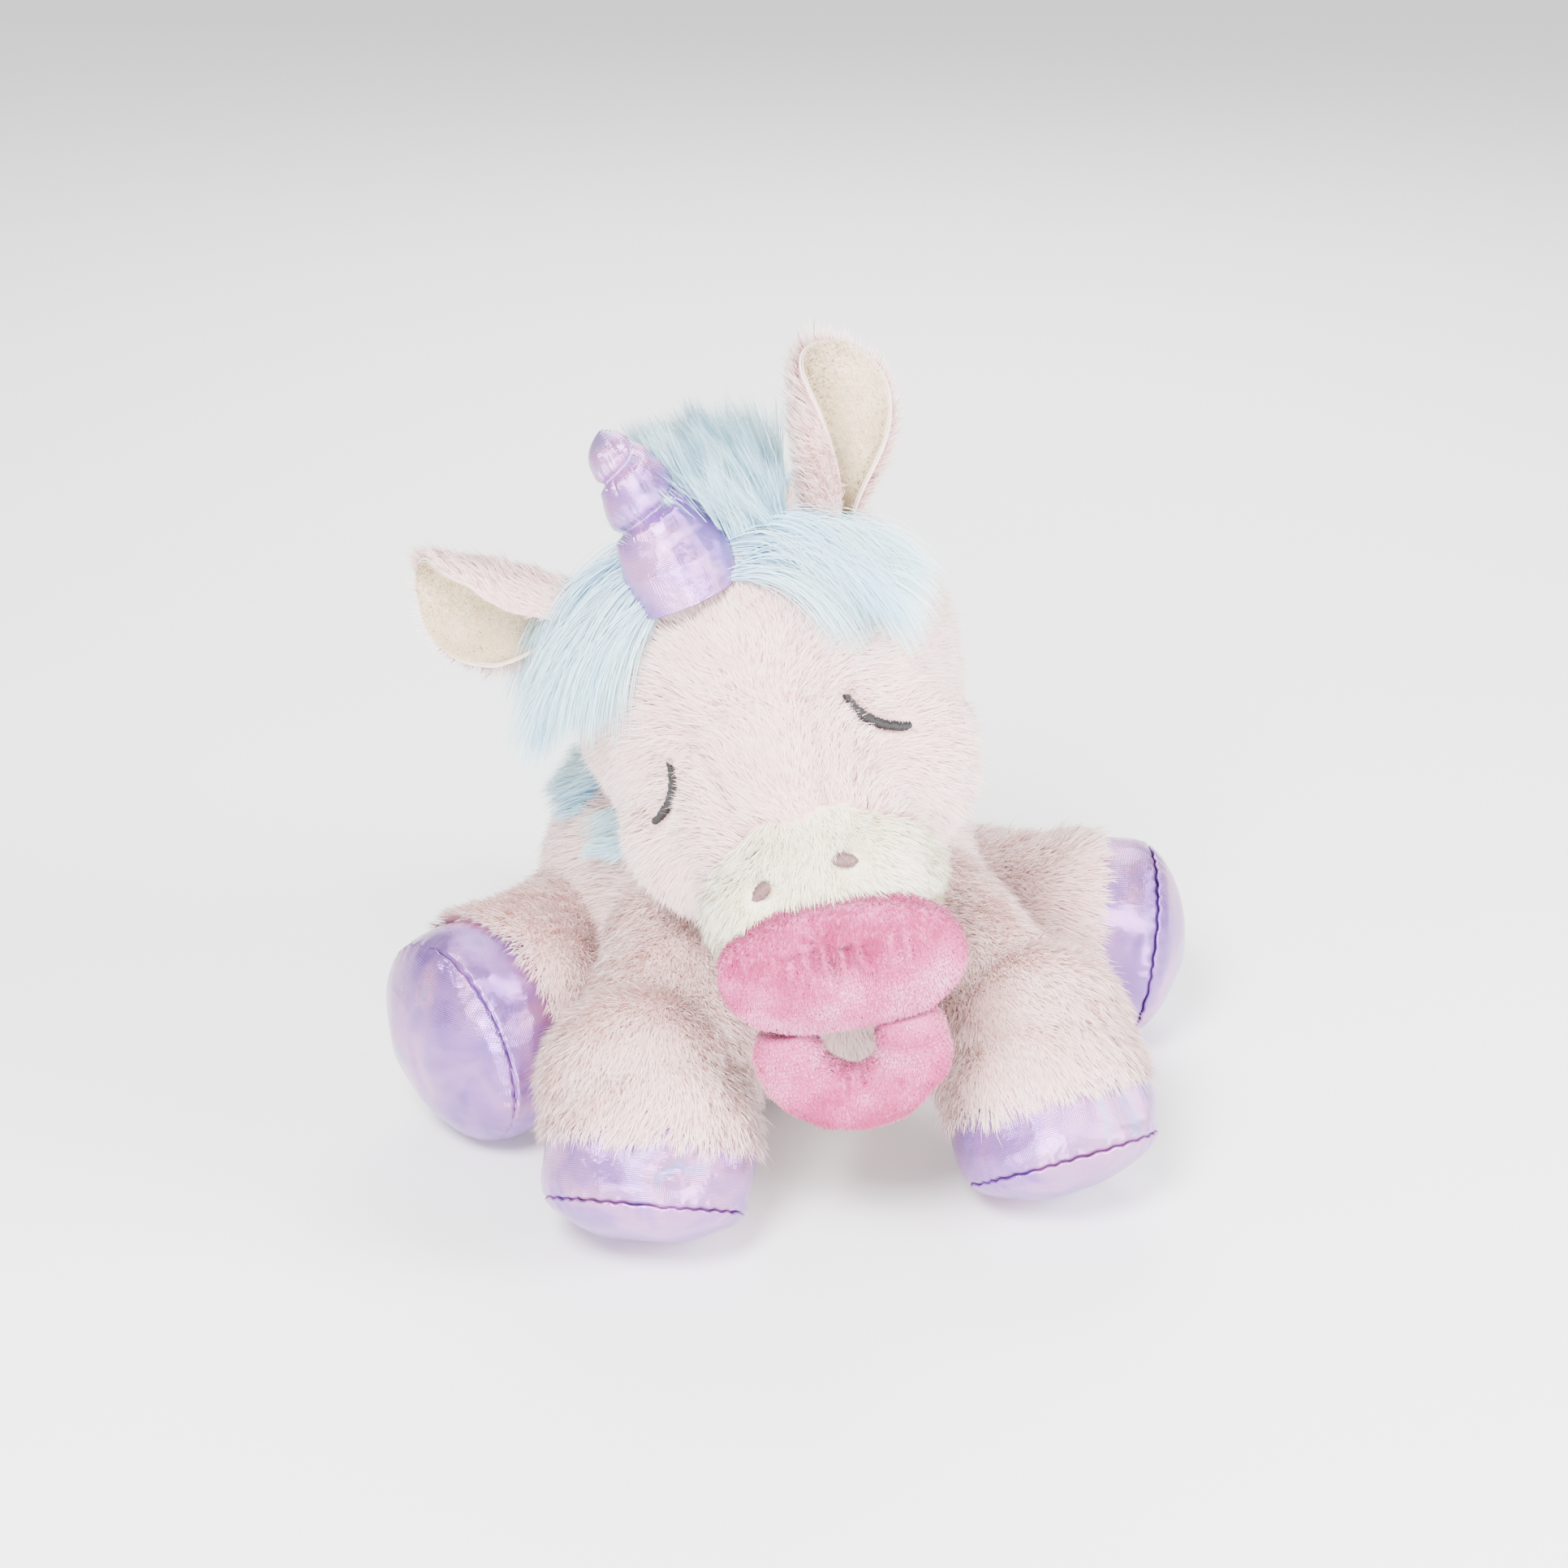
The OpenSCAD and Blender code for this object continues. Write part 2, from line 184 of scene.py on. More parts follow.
def read(items, field):
    """A vector field of every vertex or face, as rows."""
    a = np.empty(len(items) * 3)
    items.foreach_get(field, a)
    return a.reshape(-1, 3)


def coords(o):
    return read(o.data.vertices, "co") / MM


def normals(o):
    return read(o.data.vertices, "normal")


def centres(o):
    return read(o.data.polygons, "center") / MM


def push(o, f):
    """Moves every vertex: f(points, normals) gives the new points, in mm."""
    o.data.vertices.foreach_set("co", (np.asarray(f(coords(o), normals(o)), float) * MM).ravel())
    o.data.update()
    return o


def apply_modifiers(o):
    dg = bpy.context.evaluated_depsgraph_get()
    me = bpy.data.meshes.new_from_object(o.evaluated_get(dg))
    old = o.data
    o.modifiers.clear()
    o.data = me
    bpy.data.meshes.remove(old)
    o.data.shade_smooth()
    return o


def balls_and_cones(name, balls, cones=()):
    """One mesh of overlapping closed forms: balls (centre, radius or radii, rotation), cones (a, b, ra, rb)."""
    bm = bmesh.new()
    for centre, r, *turn in balls:
        radii = np.array(r if hasattr(r, "__len__") else (r, r, r), float)
        m = Matrix(((turn[0] if turn else np.eye(3)) * radii).tolist()).to_4x4()
        m.translation = Vector(np.asarray(centre, float))
        bmesh.ops.create_icosphere(bm, subdivisions=4, radius=1, matrix=m)
    for a, b, ra, rb in cones:
        a, b = np.asarray(a, float), np.asarray(b, float)
        m = Matrix(aim(b - a).tolist()).to_4x4()
        m.translation = Vector((a + b) / 2)
        bmesh.ops.create_cone(
            bm, cap_ends=True, segments=48, radius1=ra, radius2=rb, depth=float(np.linalg.norm(b - a)), matrix=m
        )
    bmesh.ops.scale(bm, vec=(MM, MM, MM), verts=bm.verts)
    me = bpy.data.meshes.new(name)
    bm.to_mesh(me)
    bm.free()
    return add_object(name, me)


def fuse(o, voxel, rounds):
    """Remeshes overlapping forms to one skin and lets the creases between them flow together."""
    m = o.modifiers.new("r", "REMESH")
    m.mode = "VOXEL"
    m.voxel_size = voxel * MM
    m = o.modifiers.new("s", "SMOOTH")
    m.factor = 0.5
    m.iterations = rounds
    return apply_modifiers(o)


def grid_faces(nv, nu, closed_u=False, base=0):
    faces = []
    for j in range(nv - 1):
        for i in range(nu if closed_u else nu - 1):
            a, b = base + j * nu + i, base + j * nu + (i + 1) % nu
            faces.append((a, b, b + nu, a + nu))
    return faces


def grid_surface(name, p, closed_u=False):
    """p is an array (nv, nu, 3) in mm, u runs round."""
    return mesh_object(name, p.reshape(-1, 3), grid_faces(*p.shape[:2], closed_u))


def thicken(o, t):
    m = o.modifiers.new("t", "SOLIDIFY")
    m.thickness = t * MM
    m.offset = -1.0
    m.use_even_offset = False
    return apply_modifiers(o)


def delete_faces(o, keep):
    """Keeps the faces for which keep, an array over the faces, is true."""
    bm = bmesh.new()
    bm.from_mesh(o.data)
    bm.faces.ensure_lookup_table()
    bmesh.ops.delete(bm, geom=[f for f, k in zip(list(bm.faces), keep) if not k], context="FACES")
    bm.to_mesh(o.data)
    bm.free()
    return o


def split_by(o, name, inside):
    """Moves the faces where inside(centres) is true to a new object and returns it."""
    c = duplicate(o, name)
    k = inside(centres(o))
    delete_faces(c, k)
    delete_faces(o, ~k)
    return c


def inner_copy(o, name, t, voxel):
    """The stuffing under a skin."""
    return fuse(push(duplicate(o, name), lambda p, n: p - n * t), voxel, 4)


def face_away(o, middle, rows=1, sign=1):
    """Turns the normals away from the middle line of a mesh of rows, or towards it where sign is -1."""
    n, p = normals(o).reshape(rows, -1, 3), coords(o).reshape(rows, -1, 3)
    if (n * (p - middle)).sum() * sign < 0:
        o.data.flip_normals()


# ---------------------------------------------------------------- materials
def srgb(r, g, b):
    return tuple(((v / 255 + 0.055) / 1.055) ** 2.4 if v > 10 else v / 3294.6 for v in (r, g, b))


def material(name):
    m = bpy.data.materials.new(name)
    m.use_nodes = True
    nt = m.node_tree
    return m, nt.nodes, nt.links, nt.nodes["Principled BSDF"]


def settle(node, **values):
    """Sets inputs by name, with _ for a space."""
    for k, v in values.items():
        node.inputs[k.replace("_", " ")].default_value = v
    return node


def shader(nodes, kind, **values):
    return settle(nodes.new("ShaderNode" + kind), **values)


def wire(links, *pairs):
    for out, into in pairs:
        links.new(out, into)


def uv_map(nodes, name):
    uv = shader(nodes, "UVMap")
    uv.uv_map = name
    return uv.outputs[0]


def ramp(nodes, stops):
    r = shader(nodes, "ValToRGB")
    r.color_ramp.interpolation = "LINEAR"
    while len(r.color_ramp.elements) < len(stops):
        r.color_ramp.elements.new(0.5)
    for e, (x, c) in zip(r.color_ramp.elements, stops):
        e.position, e.color = x, (*c, 1)
    return r


def mottle(nodes, links, bsdf, stops, **noise):
    """Colours a material by noise in object space, whose coordinates it returns."""
    place = shader(nodes, "TexCoord").outputs["Object"]
    nz, cr = shader(nodes, "TexNoise", **noise), ramp(nodes, stops)
    wire(links, (place, nz.inputs["Vector"]), (nz.outputs["Fac"], cr.inputs[0]),
         (cr.outputs[0], bsdf.inputs["Base Color"]))
    return place


def bumped(nodes, links, height, strength, distance):
    b = shader(nodes, "Bump", Strength=strength, Distance=distance)
    links.new(height, b.inputs["Height"])
    return b


def pile_material(name, shades, root, sheen=0.25, rough=0.75, tint=(1, 1, 1)):
    """Pile coloured by the strands' palette map: across it one shade per strand, up it from root to tip. The root
    colour is partly the pile's own darker base and partly painted shade down between the strands.
    """
    m, n, l, p = material(name)
    sep = shader(n, "SeparateXYZ")
    cr = ramp(n, [(i / (len(shades) - 1), s) for i, s in enumerate(shades)])
    along = shader(n, "MapRange", From_Min=0.0, From_Max=0.6)
    mix = shader(n, "Mix")
    mix.data_type = "RGBA"
    # the root colour: partly the pile's own darker base, partly painted shade down between the strands
    mix.inputs[6].default_value = (*root, 1)
    wire(l, (uv_map(n, "OFBake"), sep.inputs[0]), (sep.outputs[0], cr.inputs[0]),
         (sep.outputs[1], along.inputs["Value"]), (along.outputs[0], mix.inputs[0]),
         (cr.outputs[0], mix.inputs[7]), (mix.outputs[2], p.inputs["Base Color"]))
    settle(p, Roughness=rough, Specular_IOR_Level=0.25, Sheen_Weight=sheen, Sheen_Roughness=0.5,
           Sheen_Tint=(*tint, 1))
    return m


def cloth_material(name, light, dark, scale=900.0, bump=0.12):
    """Backing cloth or velour: woven bump and a mottled colour."""
    m, n, l, p = material(name)
    place = mottle(n, l, p, [(0.3, dark), (0.7, light)], Scale=60.0, Detail=6)
    w = shader(n, "TexWave", Scale=scale, Distortion=1.5)
    l.new(place, w.inputs["Vector"])
    l.new(bumped(n, l, w.outputs["Fac"], bump, 0.0004).outputs[0], p.inputs["Normal"])
    settle(p, Roughness=0.85, Sheen_Weight=0.3, Sheen_Roughness=0.4, Specular_IOR_Level=0.2)
    return m


def foil_material():
    """Woven cloth with an iridescent metallic coating: fine weave, glints, and a soft mottled colour, partly the
    coating's own violet and lilac and partly painted iridescent reflection in rose and sky blue.
    """
    m, n, l, p = material("foil_cloth")
    violet, lilac = srgb(132, 92, 176), srgb(166, 116, 196)
    rose, sky = srgb(196, 138, 196), srgb(128, 150, 214)
    # the rose and sky stops are painted iridescent reflection; violet and lilac are the coating's own colour
    stops = [(0.3, violet), (0.48, lilac), (0.62, rose), (0.74, sky)]
    place = mottle(n, l, p, stops, Scale=45, Detail=3, Distortion=0.6)
    weave = uv_map(n, "weave")
    threads = shader(n, "Math")
    threads.operation = "MAXIMUM"
    for i, turn in enumerate((0, PI / 2)):
        mp = shader(n, "Mapping", Rotation=(0, 0, turn))
        w = shader(n, "TexWave", Scale=0.5, Distortion=0.4, Detail_Scale=2)
        wire(l, (weave, mp.inputs["Vector"]), (mp.outputs[0], w.inputs["Vector"]),
             (w.outputs["Fac"], threads.inputs[i]))
    fine = bumped(n, l, threads.outputs[0], 0.5, 0.00025)
    big = shader(n, "TexNoise", Scale=190, Detail=2)
    l.new(place, big.inputs["Vector"])
    coarse = bumped(n, l, big.outputs["Fac"], 0.4, 0.0012)
    wire(l, (fine.outputs[0], coarse.inputs["Normal"]), (coarse.outputs[0], p.inputs["Normal"]))
    settle(p, Metallic=0.8, Roughness=0.22, Coat_Weight=0.35, Coat_Roughness=0.25, Thin_Film_Thickness=430,
           Thin_Film_IOR=1.5)
    return m


def thread_material(name, colour, lighter):
    m, n, l, p = material(name)
    mottle(n, l, p, [(0.35, colour), (0.7, lighter)], Scale=900)
    settle(p, Roughness=0.55, Sheen_Weight=0.06)
    return m


PINK = [srgb(246, 208, 204), srgb(250, 218, 214), srgb(253, 226, 222), srgb(255, 235, 231), srgb(249, 212, 209)]
CREAM = [srgb(250, 240, 212), srgb(254, 248, 229), srgb(255, 252, 240)]
BLUE = [srgb(176, 220, 248), srgb(194, 234, 252), srgb(210, 244, 252), srgb(228, 249, 252), srgb(190, 226, 250)]
VELOUR = [srgb(172, 28, 96), srgb(200, 60, 126), srgb(222, 100, 156), srgb(238, 142, 188), srgb(248, 184, 215)]
LINING = [srgb(214, 180, 128), srgb(228, 198, 150), srgb(238, 214, 172)]
MAT = {
    # the second colour of each pile is its root colour: partly its own darker base, partly painted shade down in the
    # pile
    "fur": pile_material("pink_pile", PINK, srgb(240, 190, 182)),
    "muzzle": pile_material("cream_pile", CREAM, srgb(244, 228, 190)),
    "mane": pile_material("blue_pile", BLUE, srgb(170, 212, 240)),
    "velour": pile_material("velour_pile", VELOUR, srgb(176, 62, 116), 0.6, 0.6, srgb(250, 210, 228)),
    "lining": pile_material("lining_pile", LINING, srgb(196, 172, 138), sheen=0.5),
    "skin": cloth_material("pink_backing", srgb(240, 214, 210), srgb(228, 196, 192)),
    "muzzle_skin": cloth_material("cream_backing", srgb(236, 230, 214), srgb(222, 212, 190)),
    "mane_skin": cloth_material("blue_backing", srgb(198, 220, 232), srgb(178, 204, 222)),
    "velour_skin": cloth_material("velour_backing", srgb(214, 118, 164), srgb(184, 72, 124), scale=1400, bump=0.3),
    "lining_skin": cloth_material("lining_backing", srgb(226, 211, 188), srgb(206, 186, 156), scale=1400, bump=0.3),
    "stuffing": cloth_material("stuffing_fibre", srgb(244, 244, 240), srgb(226, 226, 222), scale=200, bump=0.5),
    "pellet": cloth_material("pellet_cloth", srgb(226, 218, 204), srgb(206, 196, 180)),
    "foil": foil_material(),
    "dark": thread_material("dark_thread", srgb(10, 7, 9), srgb(28, 22, 26)),
    "brown": thread_material("brown_thread", srgb(104, 72, 74), srgb(132, 98, 98)),
    "seam": thread_material("seam_thread", srgb(74, 60, 96), srgb(108, 92, 130)),
    "lilac": thread_material("lilac_thread", srgb(160, 130, 185), srgb(190, 160, 210)),
}


def paint(o, key):
    o.data.materials.clear()
    o.data.materials.append(MAT[key])
    return o


# ---------------------------------------------------------------- pile
def scatter(o, density, rng, weight=None):
    """Random points on a skin and its normals there. density in strands per mm2, weight(points, normals) scales it."""
    o.data.calc_loop_triangles()
    nt = len(o.data.loop_triangles)
    tri = np.empty(nt * 3, int)
    o.data.loop_triangles.foreach_get("vertices", tri)
    tri = tri.reshape(-1, 3)
    v, nv = coords(o), normals(o)
    a, b, c = v[tri[:, 0]], v[tri[:, 1]], v[tri[:, 2]]
    area = np.linalg.norm(np.cross(b - a, c - a), axis=1) / 2
    w = area * (1 if weight is None else weight((a + b + c) / 3, unit(nv[tri].mean(1))))
    count = int(w.sum() * density)
    chosen = tri[rng.choice(nt, count, p=w / w.sum())]
    r1, r2 = np.sqrt(rng.random(count)), rng.random(count)
    k = np.stack([1 - r1, r1 * (1 - r2), r1 * r2], 1)[..., None]
    return (v[chosen] * k).sum(1), unit((nv[chosen] * k).sum(1))


def strand_piece(name, q, width, shade, shading, roll):
    """One mesh of flat tapering hairs, each s - 2 quads and a tip. Its map holds the shade and the height."""
    m, s = q.shape[:2]
    d = unit(np.gradient(q, axis=1))
    nrm = shading[:, None, :]
    side = unit(np.cross(d, nrm))
    r = roll[:, None, None]
    side = side * np.cos(r) + unit(np.cross(side, d)) * np.sin(r)
    t = np.linspace(0, 1, s)
    w = (width[:, None] * (1 - 0.75 * t**1.5))[..., None] / 2
    left, right = (q - side * w)[:, :-1], (q + side * w)[:, :-1]
    pts = np.concatenate([np.stack([left, right], 2).reshape(m, -1, 3), q[:, -1:]], 1)
    per = 2 * (s - 1) + 1
    loops = [2 * k + corner for k in range(s - 2) for corner in (0, 1, 3, 2)]
    loops = np.array(loops + [2 * (s - 2), 2 * (s - 2) + 1, 2 * (s - 1)])
    all_loops = (np.arange(m)[:, None] * per + loops).ravel()
    sizes = np.tile([4] * (s - 2) + [3], m)
    me = bpy.data.meshes.new(name)
    me.vertices.add(m * per)
    me.vertices.foreach_set("co", (pts * MM).ravel())
    me.loops.add(len(all_loops))
    me.loops.foreach_set("vertex_index", all_loops.astype(np.int32))
    me.polygons.add(len(sizes))
    starts = np.concatenate([[0], np.cumsum(sizes)[:-1]])
    me.polygons.foreach_set("loop_start", starts.astype(np.int32))
    me.update(calc_edges=True)
    uv = me.uv_layers.new(name="OFBake")
    height = np.concatenate([np.repeat(t[:-1], 2), [1.0]])
    vert_uv = np.stack([np.repeat(shade, per), np.tile(height, m)], 1)
    vert_uv[:, 0] += np.tile(np.concatenate([np.tile([-0.004, 0.004], s - 1), [0.0]]), m)
    uv.data.foreach_set("uv", np.clip(vert_uv, 0.002, 0.998)[all_loops].astype(np.float32).ravel())
    # shaded mostly by the skin's normal, so that the pile looks soft
    face_n = np.cross(side, d)
    flip = np.sign((face_n * nrm).sum(-1, keepdims=True))
    face_n = face_n * np.where(flip == 0, 1, flip)
    fn = np.concatenate([np.repeat(face_n[:, :-1], 2, 1), face_n[:, -1:]], 1)
    vn = unit(0.72 * np.repeat(nrm, per, 1) + 0.28 * fn).reshape(-1, 3)
    me.shade_smooth()
    me.normals_split_custom_set_from_vertices(vn.tolist())
    return me


def strands(name, key, path, *rows):
    """Hairs along path (n, s, 3) mm from root to tip; rows are their width, shade, shading normal and roll."""
    n, s = path.shape[:2]
    split = PIECE_FACES // (2 * (s - 2) + 1)
    made = []
    for part in range(0, n, split):
        me = strand_piece(name, *(a[part : part + split] for a in (path, *rows)))
        made.append(paint(add_object(name if n <= split else f"{name}_{part // split + 1}", me), key))
    return made


def grow(name, skin, key, density, length, seed, comb, lean=0.9, clump=1.6, width=0.31, segs=4, keep=None,
         curl=0.12, wild=0.05, tone=None):
    """Grows pile on a skin. comb(points, normals) is the way it is brushed, length(points) its length in mm."""
    rng = np.random.default_rng(seed)
    root, nrm = scatter(skin, density * QUICK, rng, keep)
    n = len(root)
    ln = length(root) * rng.uniform(0.75, 1.15, n) * (1 + 0.18 * noise3(root, 9, 1))
    ln = np.where(rng.random(n) < wild, ln * rng.uniform(1.2, 1.6, n), ln)
    way = comb(root, nrm)
    way = way - (way * nrm).sum(1, keepdims=True) * nrm
    drift = noise_vec(root, 14)
    way = way + 0.4 * (drift - (drift * nrm).sum(1, keepdims=True) * nrm)
    way = way + rng.normal(0, 0.18, (n, 3))
    start = unit(nrm + lean * 0.55 * way)
    end = unit(nrm * 0.55 + lean * 1.25 * way + 0.25 * DOWN)
    t = np.linspace(0, 1, segs)[None, :, None]
    path = root[:, None] + ln[:, None, None] * (start[:, None] * (t - 0.5 * t**2) + end[:, None] * 0.5 * t**2)
    # tips gather into tufts
    cells = unit(noise_vec(root + 37.0, clump * 2.4))
    pull = clump * 0.4 * cells + 0.45 * clump * noise_vec(root + 11.0, clump * 1.1)
    path = path + pull[:, None] * t**1.6
    path = path + curl * rng.normal(0, 1, (n, 1, 3)) * np.sin(PI * t)
    path[..., 2] = np.maximum(path[..., 2], 0.25)
    # tone(points), where given, adds painted light and shade to the strands' shade; the noise and the random part are
    # the pile's own uneven colour
    shade = 0.5 + 0.32 * noise3(root, 7, 2) + rng.normal(0, 0.16, n) + (0 if tone is None else tone(root))
    shade = np.clip(shade, 0.02, 0.98)
    return strands(name, key, path, rng.uniform(0.75, 1.2, n) * width, shade, nrm, rng.normal(0, 0.7, n))


def comb_towards(way):
    return lambda p, n: np.tile(np.asarray(way, float), (len(p), 1))


# ---------------------------------------------------------------- camera, light and floor
def look_at(o, target):
    o.rotation_euler = (Vector(target) - o.location).to_track_quat("-Z", "Y").to_euler()


cam = add_object("camera", bpy.data.cameras.new("camera"))
AIM = Vector((-0.004, -0.041, 0.120))
AZ, EL, DIST = math.radians(-14), math.radians(24), 1.2
cam.location = AIM + DIST * Vector((math.sin(AZ) * math.cos(EL), -math.cos(AZ) * math.cos(EL), math.sin(EL)))
look_at(cam, AIM)
cam.data.sensor_width = 36
cam.data.angle = math.radians(25.42)
cam.data.clip_start = 0.05
bpy.context.scene.camera = cam

for name, place, target, size, watts in (
    ("key", (-0.55, -0.9, 1.15), (0, -0.05, 0.1), 0.5, 56),
    ("fill", (0.95, -0.75, 0.65), (0, -0.05, 0.1), 0.6, 34),
    ("back", (0.3, 0.9, 0.95), (0, 0, 0.12), 0.9, 22),
    ("low", (-0.35, -1.35, 0.3), (0, -0.08, 0.09), 0.6, 30),
):
    light = bpy.data.lights.new(name, "AREA")
    light.shape, light.size, light.energy = "DISK", size, watts
    lamp = add_object(name, light)
    lamp.location = place
    look_at(lamp, target)
world = bpy.data.worlds.new("studio")
bpy.context.scene.world = world
world.use_nodes = True
world.node_tree.nodes["Background"].inputs[0].default_value = (1.0, 1.0, 1.0, 1)
world.node_tree.nodes["Background"].inputs[1].default_value = 1.05

FLOOR = 3000.0
corners = [[-FLOOR, -FLOOR, 0], [FLOOR, -FLOOR, 0], [FLOOR, FLOOR, 0], [-FLOOR, FLOOR, 0]]
ground = mesh_object("floor", corners, [(0, 1, 2, 3)])
ground.location.z = -0.0004
pale, *_, bsdf = material("floor_pale")
settle(bsdf, Base_Color=(0.95, 0.95, 0.95, 1), Roughness=0.9)
ground.data.materials.append(pale)


# ---------------------------------------------------------------- skins
def flatten(o, z0, soft):
    """The weight of the toy flattens its underside."""
    def f(p, n):
        q = p.copy()
        z = p[:, 2]
        q[:, 2] = np.where(z < z0 + soft, z0 + soft * np.exp((z - z0 - soft) / soft), z)
        low = smooth(z0 + soft, z0 - 6, z)[:, None]
        q[:, :2] += n[:, :2] * low * 2.5
        return q
    return push(o, f)


def lumpy(o, big=1.4, small=0.5, shift=0.0):
    return push(
        o, lambda p, n: p + n * (big * noise3(p + shift, 34) + small * noise3(p + shift, 13, 1))[:, None]
    )


SHOULDERS = [([0, -18, 58], [71, 61, 60]), ([-16, -46, 84], 33), ([16, -46, 84], 33)]
HIPS = [([-44, -8, 52], 36), ([44, -8, 52], 36), ([-34, -44, 64], 32), ([34, -44, 64], 32)]
torso = balls_and_cones("torso_skin", [(TORSO_C, [77, 71, 69]), *SHOULDERS, *HIPS])
fuse(torso, 2.6, 22)
flatten(torso, 2.0, 8.0)
lumpy(torso)

# neck, hidden between the body and the hanging head
neck = balls_and_cones("neck_skin", [(NECK_C, [38, 34, 30])])
fuse(neck, 2.6, 4)
lumpy(neck, 0.8, 0.3, 9.0)


def head_form(name, g):
    """The head's soft form: round skull, full cheeks, narrower muzzle. g is how far it is grown."""
    balls = [
        ([0, 0, 0], [SKULL_R + g, SKULL_R + g - 1, SKULL_R + g - 1]),
        ([-26, -26, -30], 36 + g),
        ([26, -26, -30], 36 + g),
        (MUZZLE_C + [0, 2, 1], [MUZZLE_R + g + 1, MUZZLE_R + g, MUZZLE_R + g - 1]),
        ([-14, -64, -52], 28 + g),
        ([14, -64, -52], 28 + g),
    ]
    bridge = (head([0, -6, -6]), head(MUZZLE_C), SKULL_R + g - 5, MUZZLE_R + g - 1)
    return balls_and_cones(name, [(head(c), r, HEAD_R) for c, r in balls], [bridge])


def behind_shield(p, gap=1.0):
    """Presses points that would stand in the pacifier's shield back behind it."""
    q = to_shield(p)
    r = np.sqrt((q[:, 0] / (SHIELD_W / 2 + 3)) ** 2 + (q[:, 2] / (SHIELD_H / 2 + 3)) ** 2)
    back = SHIELD_T / 2 * np.sqrt(np.clip(1 - np.minimum(r, 1) ** 2, 0, 1)) * 0.75 + gap
    inside = smooth(1.18, 0.92, r)
    q[:, 1] = np.where(q[:, 1] < back, q[:, 1] * (1 - inside) + back * inside, q[:, 1])
    return shield(q)


def eye_arc():
    """The circle through the three points of the eye: centre, two axes, radius, angle swept."""
    ab, ac = EYE[1] - EYE[0], EYE[2] - EYE[0]
    nn = np.cross(ab, ac)
    c = EYE[0] + (np.cross(nn, ab) * (ac @ ac) + np.cross(ac, nn) * (ab @ ab)) / (2 * (nn @ nn))
    ux, uz = unit(EYE[0] - c), unit(nn)
    sweep = math.acos(np.clip(ux @ unit(EYE[2] - c), -1, 1))
    return c, ux, np.cross(uz, ux), np.linalg.norm(EYE[0] - c), sweep


ARC = eye_arc()


def eye_point(side, k):
    c, ux, uy, r, sweep = ARC
    p = c + r * (math.cos(sweep * k) * ux + math.sin(sweep * k) * uy)
    return p * np.array([side, 1, 1])


def head_detail(p, n):
    """Dips under the eyes, fuller cheeks, and dart seams from the muzzle up between the eyes."""
    h = to_head(p)
    d = np.zeros(len(p))
    for side in (-1, 1):
        for k in np.linspace(0, 1, 9):
            d -= 0.42 * bell(distance(h, eye_point(side, k)), 5.5)
        d += 1.3 * bell(distance(h, eye_point(side, 0.5) + [side * 2, -4, -15]), 13)
    for side in (-1, 1):
        x = side * (15 + 0.14 * np.clip(h[:, 2] + 30, -20, 60))
        on = smooth(-44, -34, h[:, 2]) * smooth(26, 6, h[:, 2]) * (h[:, 1] < -20)
        d -= 1.5 * bell(h[:, 0] - x, 2.4) * on
    return p + n * (d + 0.8 * noise3(p, 30) + 0.35 * noise3(p, 12, 1))[:, None]


head_skin = head_form("head_skin", -CUT)
fuse(head_skin, 2.2, 16)
push(head_skin, lambda p, n: behind_shield(p))
push(head_skin, head_detail)


def muzzle_side(h):
    """Positive in the cream part of the face; h in the head's frame, mm."""
    d = unit([0, -math.cos(math.radians(29)), -math.sin(math.radians(29))])
    q = h - MUZZLE_C
    side = q[:, 0]
    top = np.cross(d, [1, 0, 0])
    rise = q @ (top if top[2] > 0 else -top)
    edge = 7 - 3.5 * bell(np.abs(side) - 15, 11) * smooth(0, 20, rise) + 0.9 * np.sin(side / 3.5)
    return q @ d - edge


def leg_skin(name, leg):
    mid = leg.root + 0.55 * (leg.ankle - leg.root)
    balls = [
        (leg.root, leg.root_r - 1),
        (mid, (leg.root_r + leg.ankle_r) / 2 - 2),
        (leg.ankle, leg.ankle_r - 0.5),
        (leg.ankle + leg.sole * FUR_L * 0.6, leg.ankle_r + 0.4),
    ]
    if name.startswith("front"):
        balls.append((leg.ankle + [0, 12, 8], leg.ankle_r - 1))
    o = balls_and_cones(name + "_leg_skin", balls, [(leg.root, leg.ankle, leg.root_r - 2, leg.ankle_r - 2)])
    fuse(o, 2.2, 10)
    # the skin ends at the shiny band
    delete_faces(o, ((centres(o) - leg.ankle) @ leg.sole) < FUR_L + 1.0)
    flatten(o, 1.4, 5.0)
    lumpy(o, 1.2, 0.4, 5.0 * len(name))
    return paint(o, "skin")


leg_skins = {k: leg_skin(k, leg) for k, leg in LEGS.items()}
muzzle_skin = split_by(head_skin, "muzzle_skin", lambda p: muzzle_side(to_head(p)) > 0)
for o, key in [(torso, "skin"), (neck, "skin"), (head_skin, "skin"), (muzzle_skin, "muzzle_skin")]:
    paint(o, key)


# ---------------------------------------------------------------- pile on the body
def head_comb(p, n):
    """Back from the nose over the forehead, out over the cheeks and down at the jaw, as this pile lies."""
    h = to_head(p)
    x = h[:, 0]
    cheek = smooth(15, 50, np.abs(x))[:, None]
    out = xyz(x * 0.012, 0.25, 0.75) * (1 - cheek) + cheek * xyz(np.sign(x) * 0.5, 0.5, -0.25)
    low = smooth(-10, -50, h[:, 2])[:, None] * smooth(20, 40, np.abs(x))[:, None]
    return (out * (1 - low) + low * xyz(np.sign(x) * 0.3, 0.4, -0.7)) @ HEAD_R.T


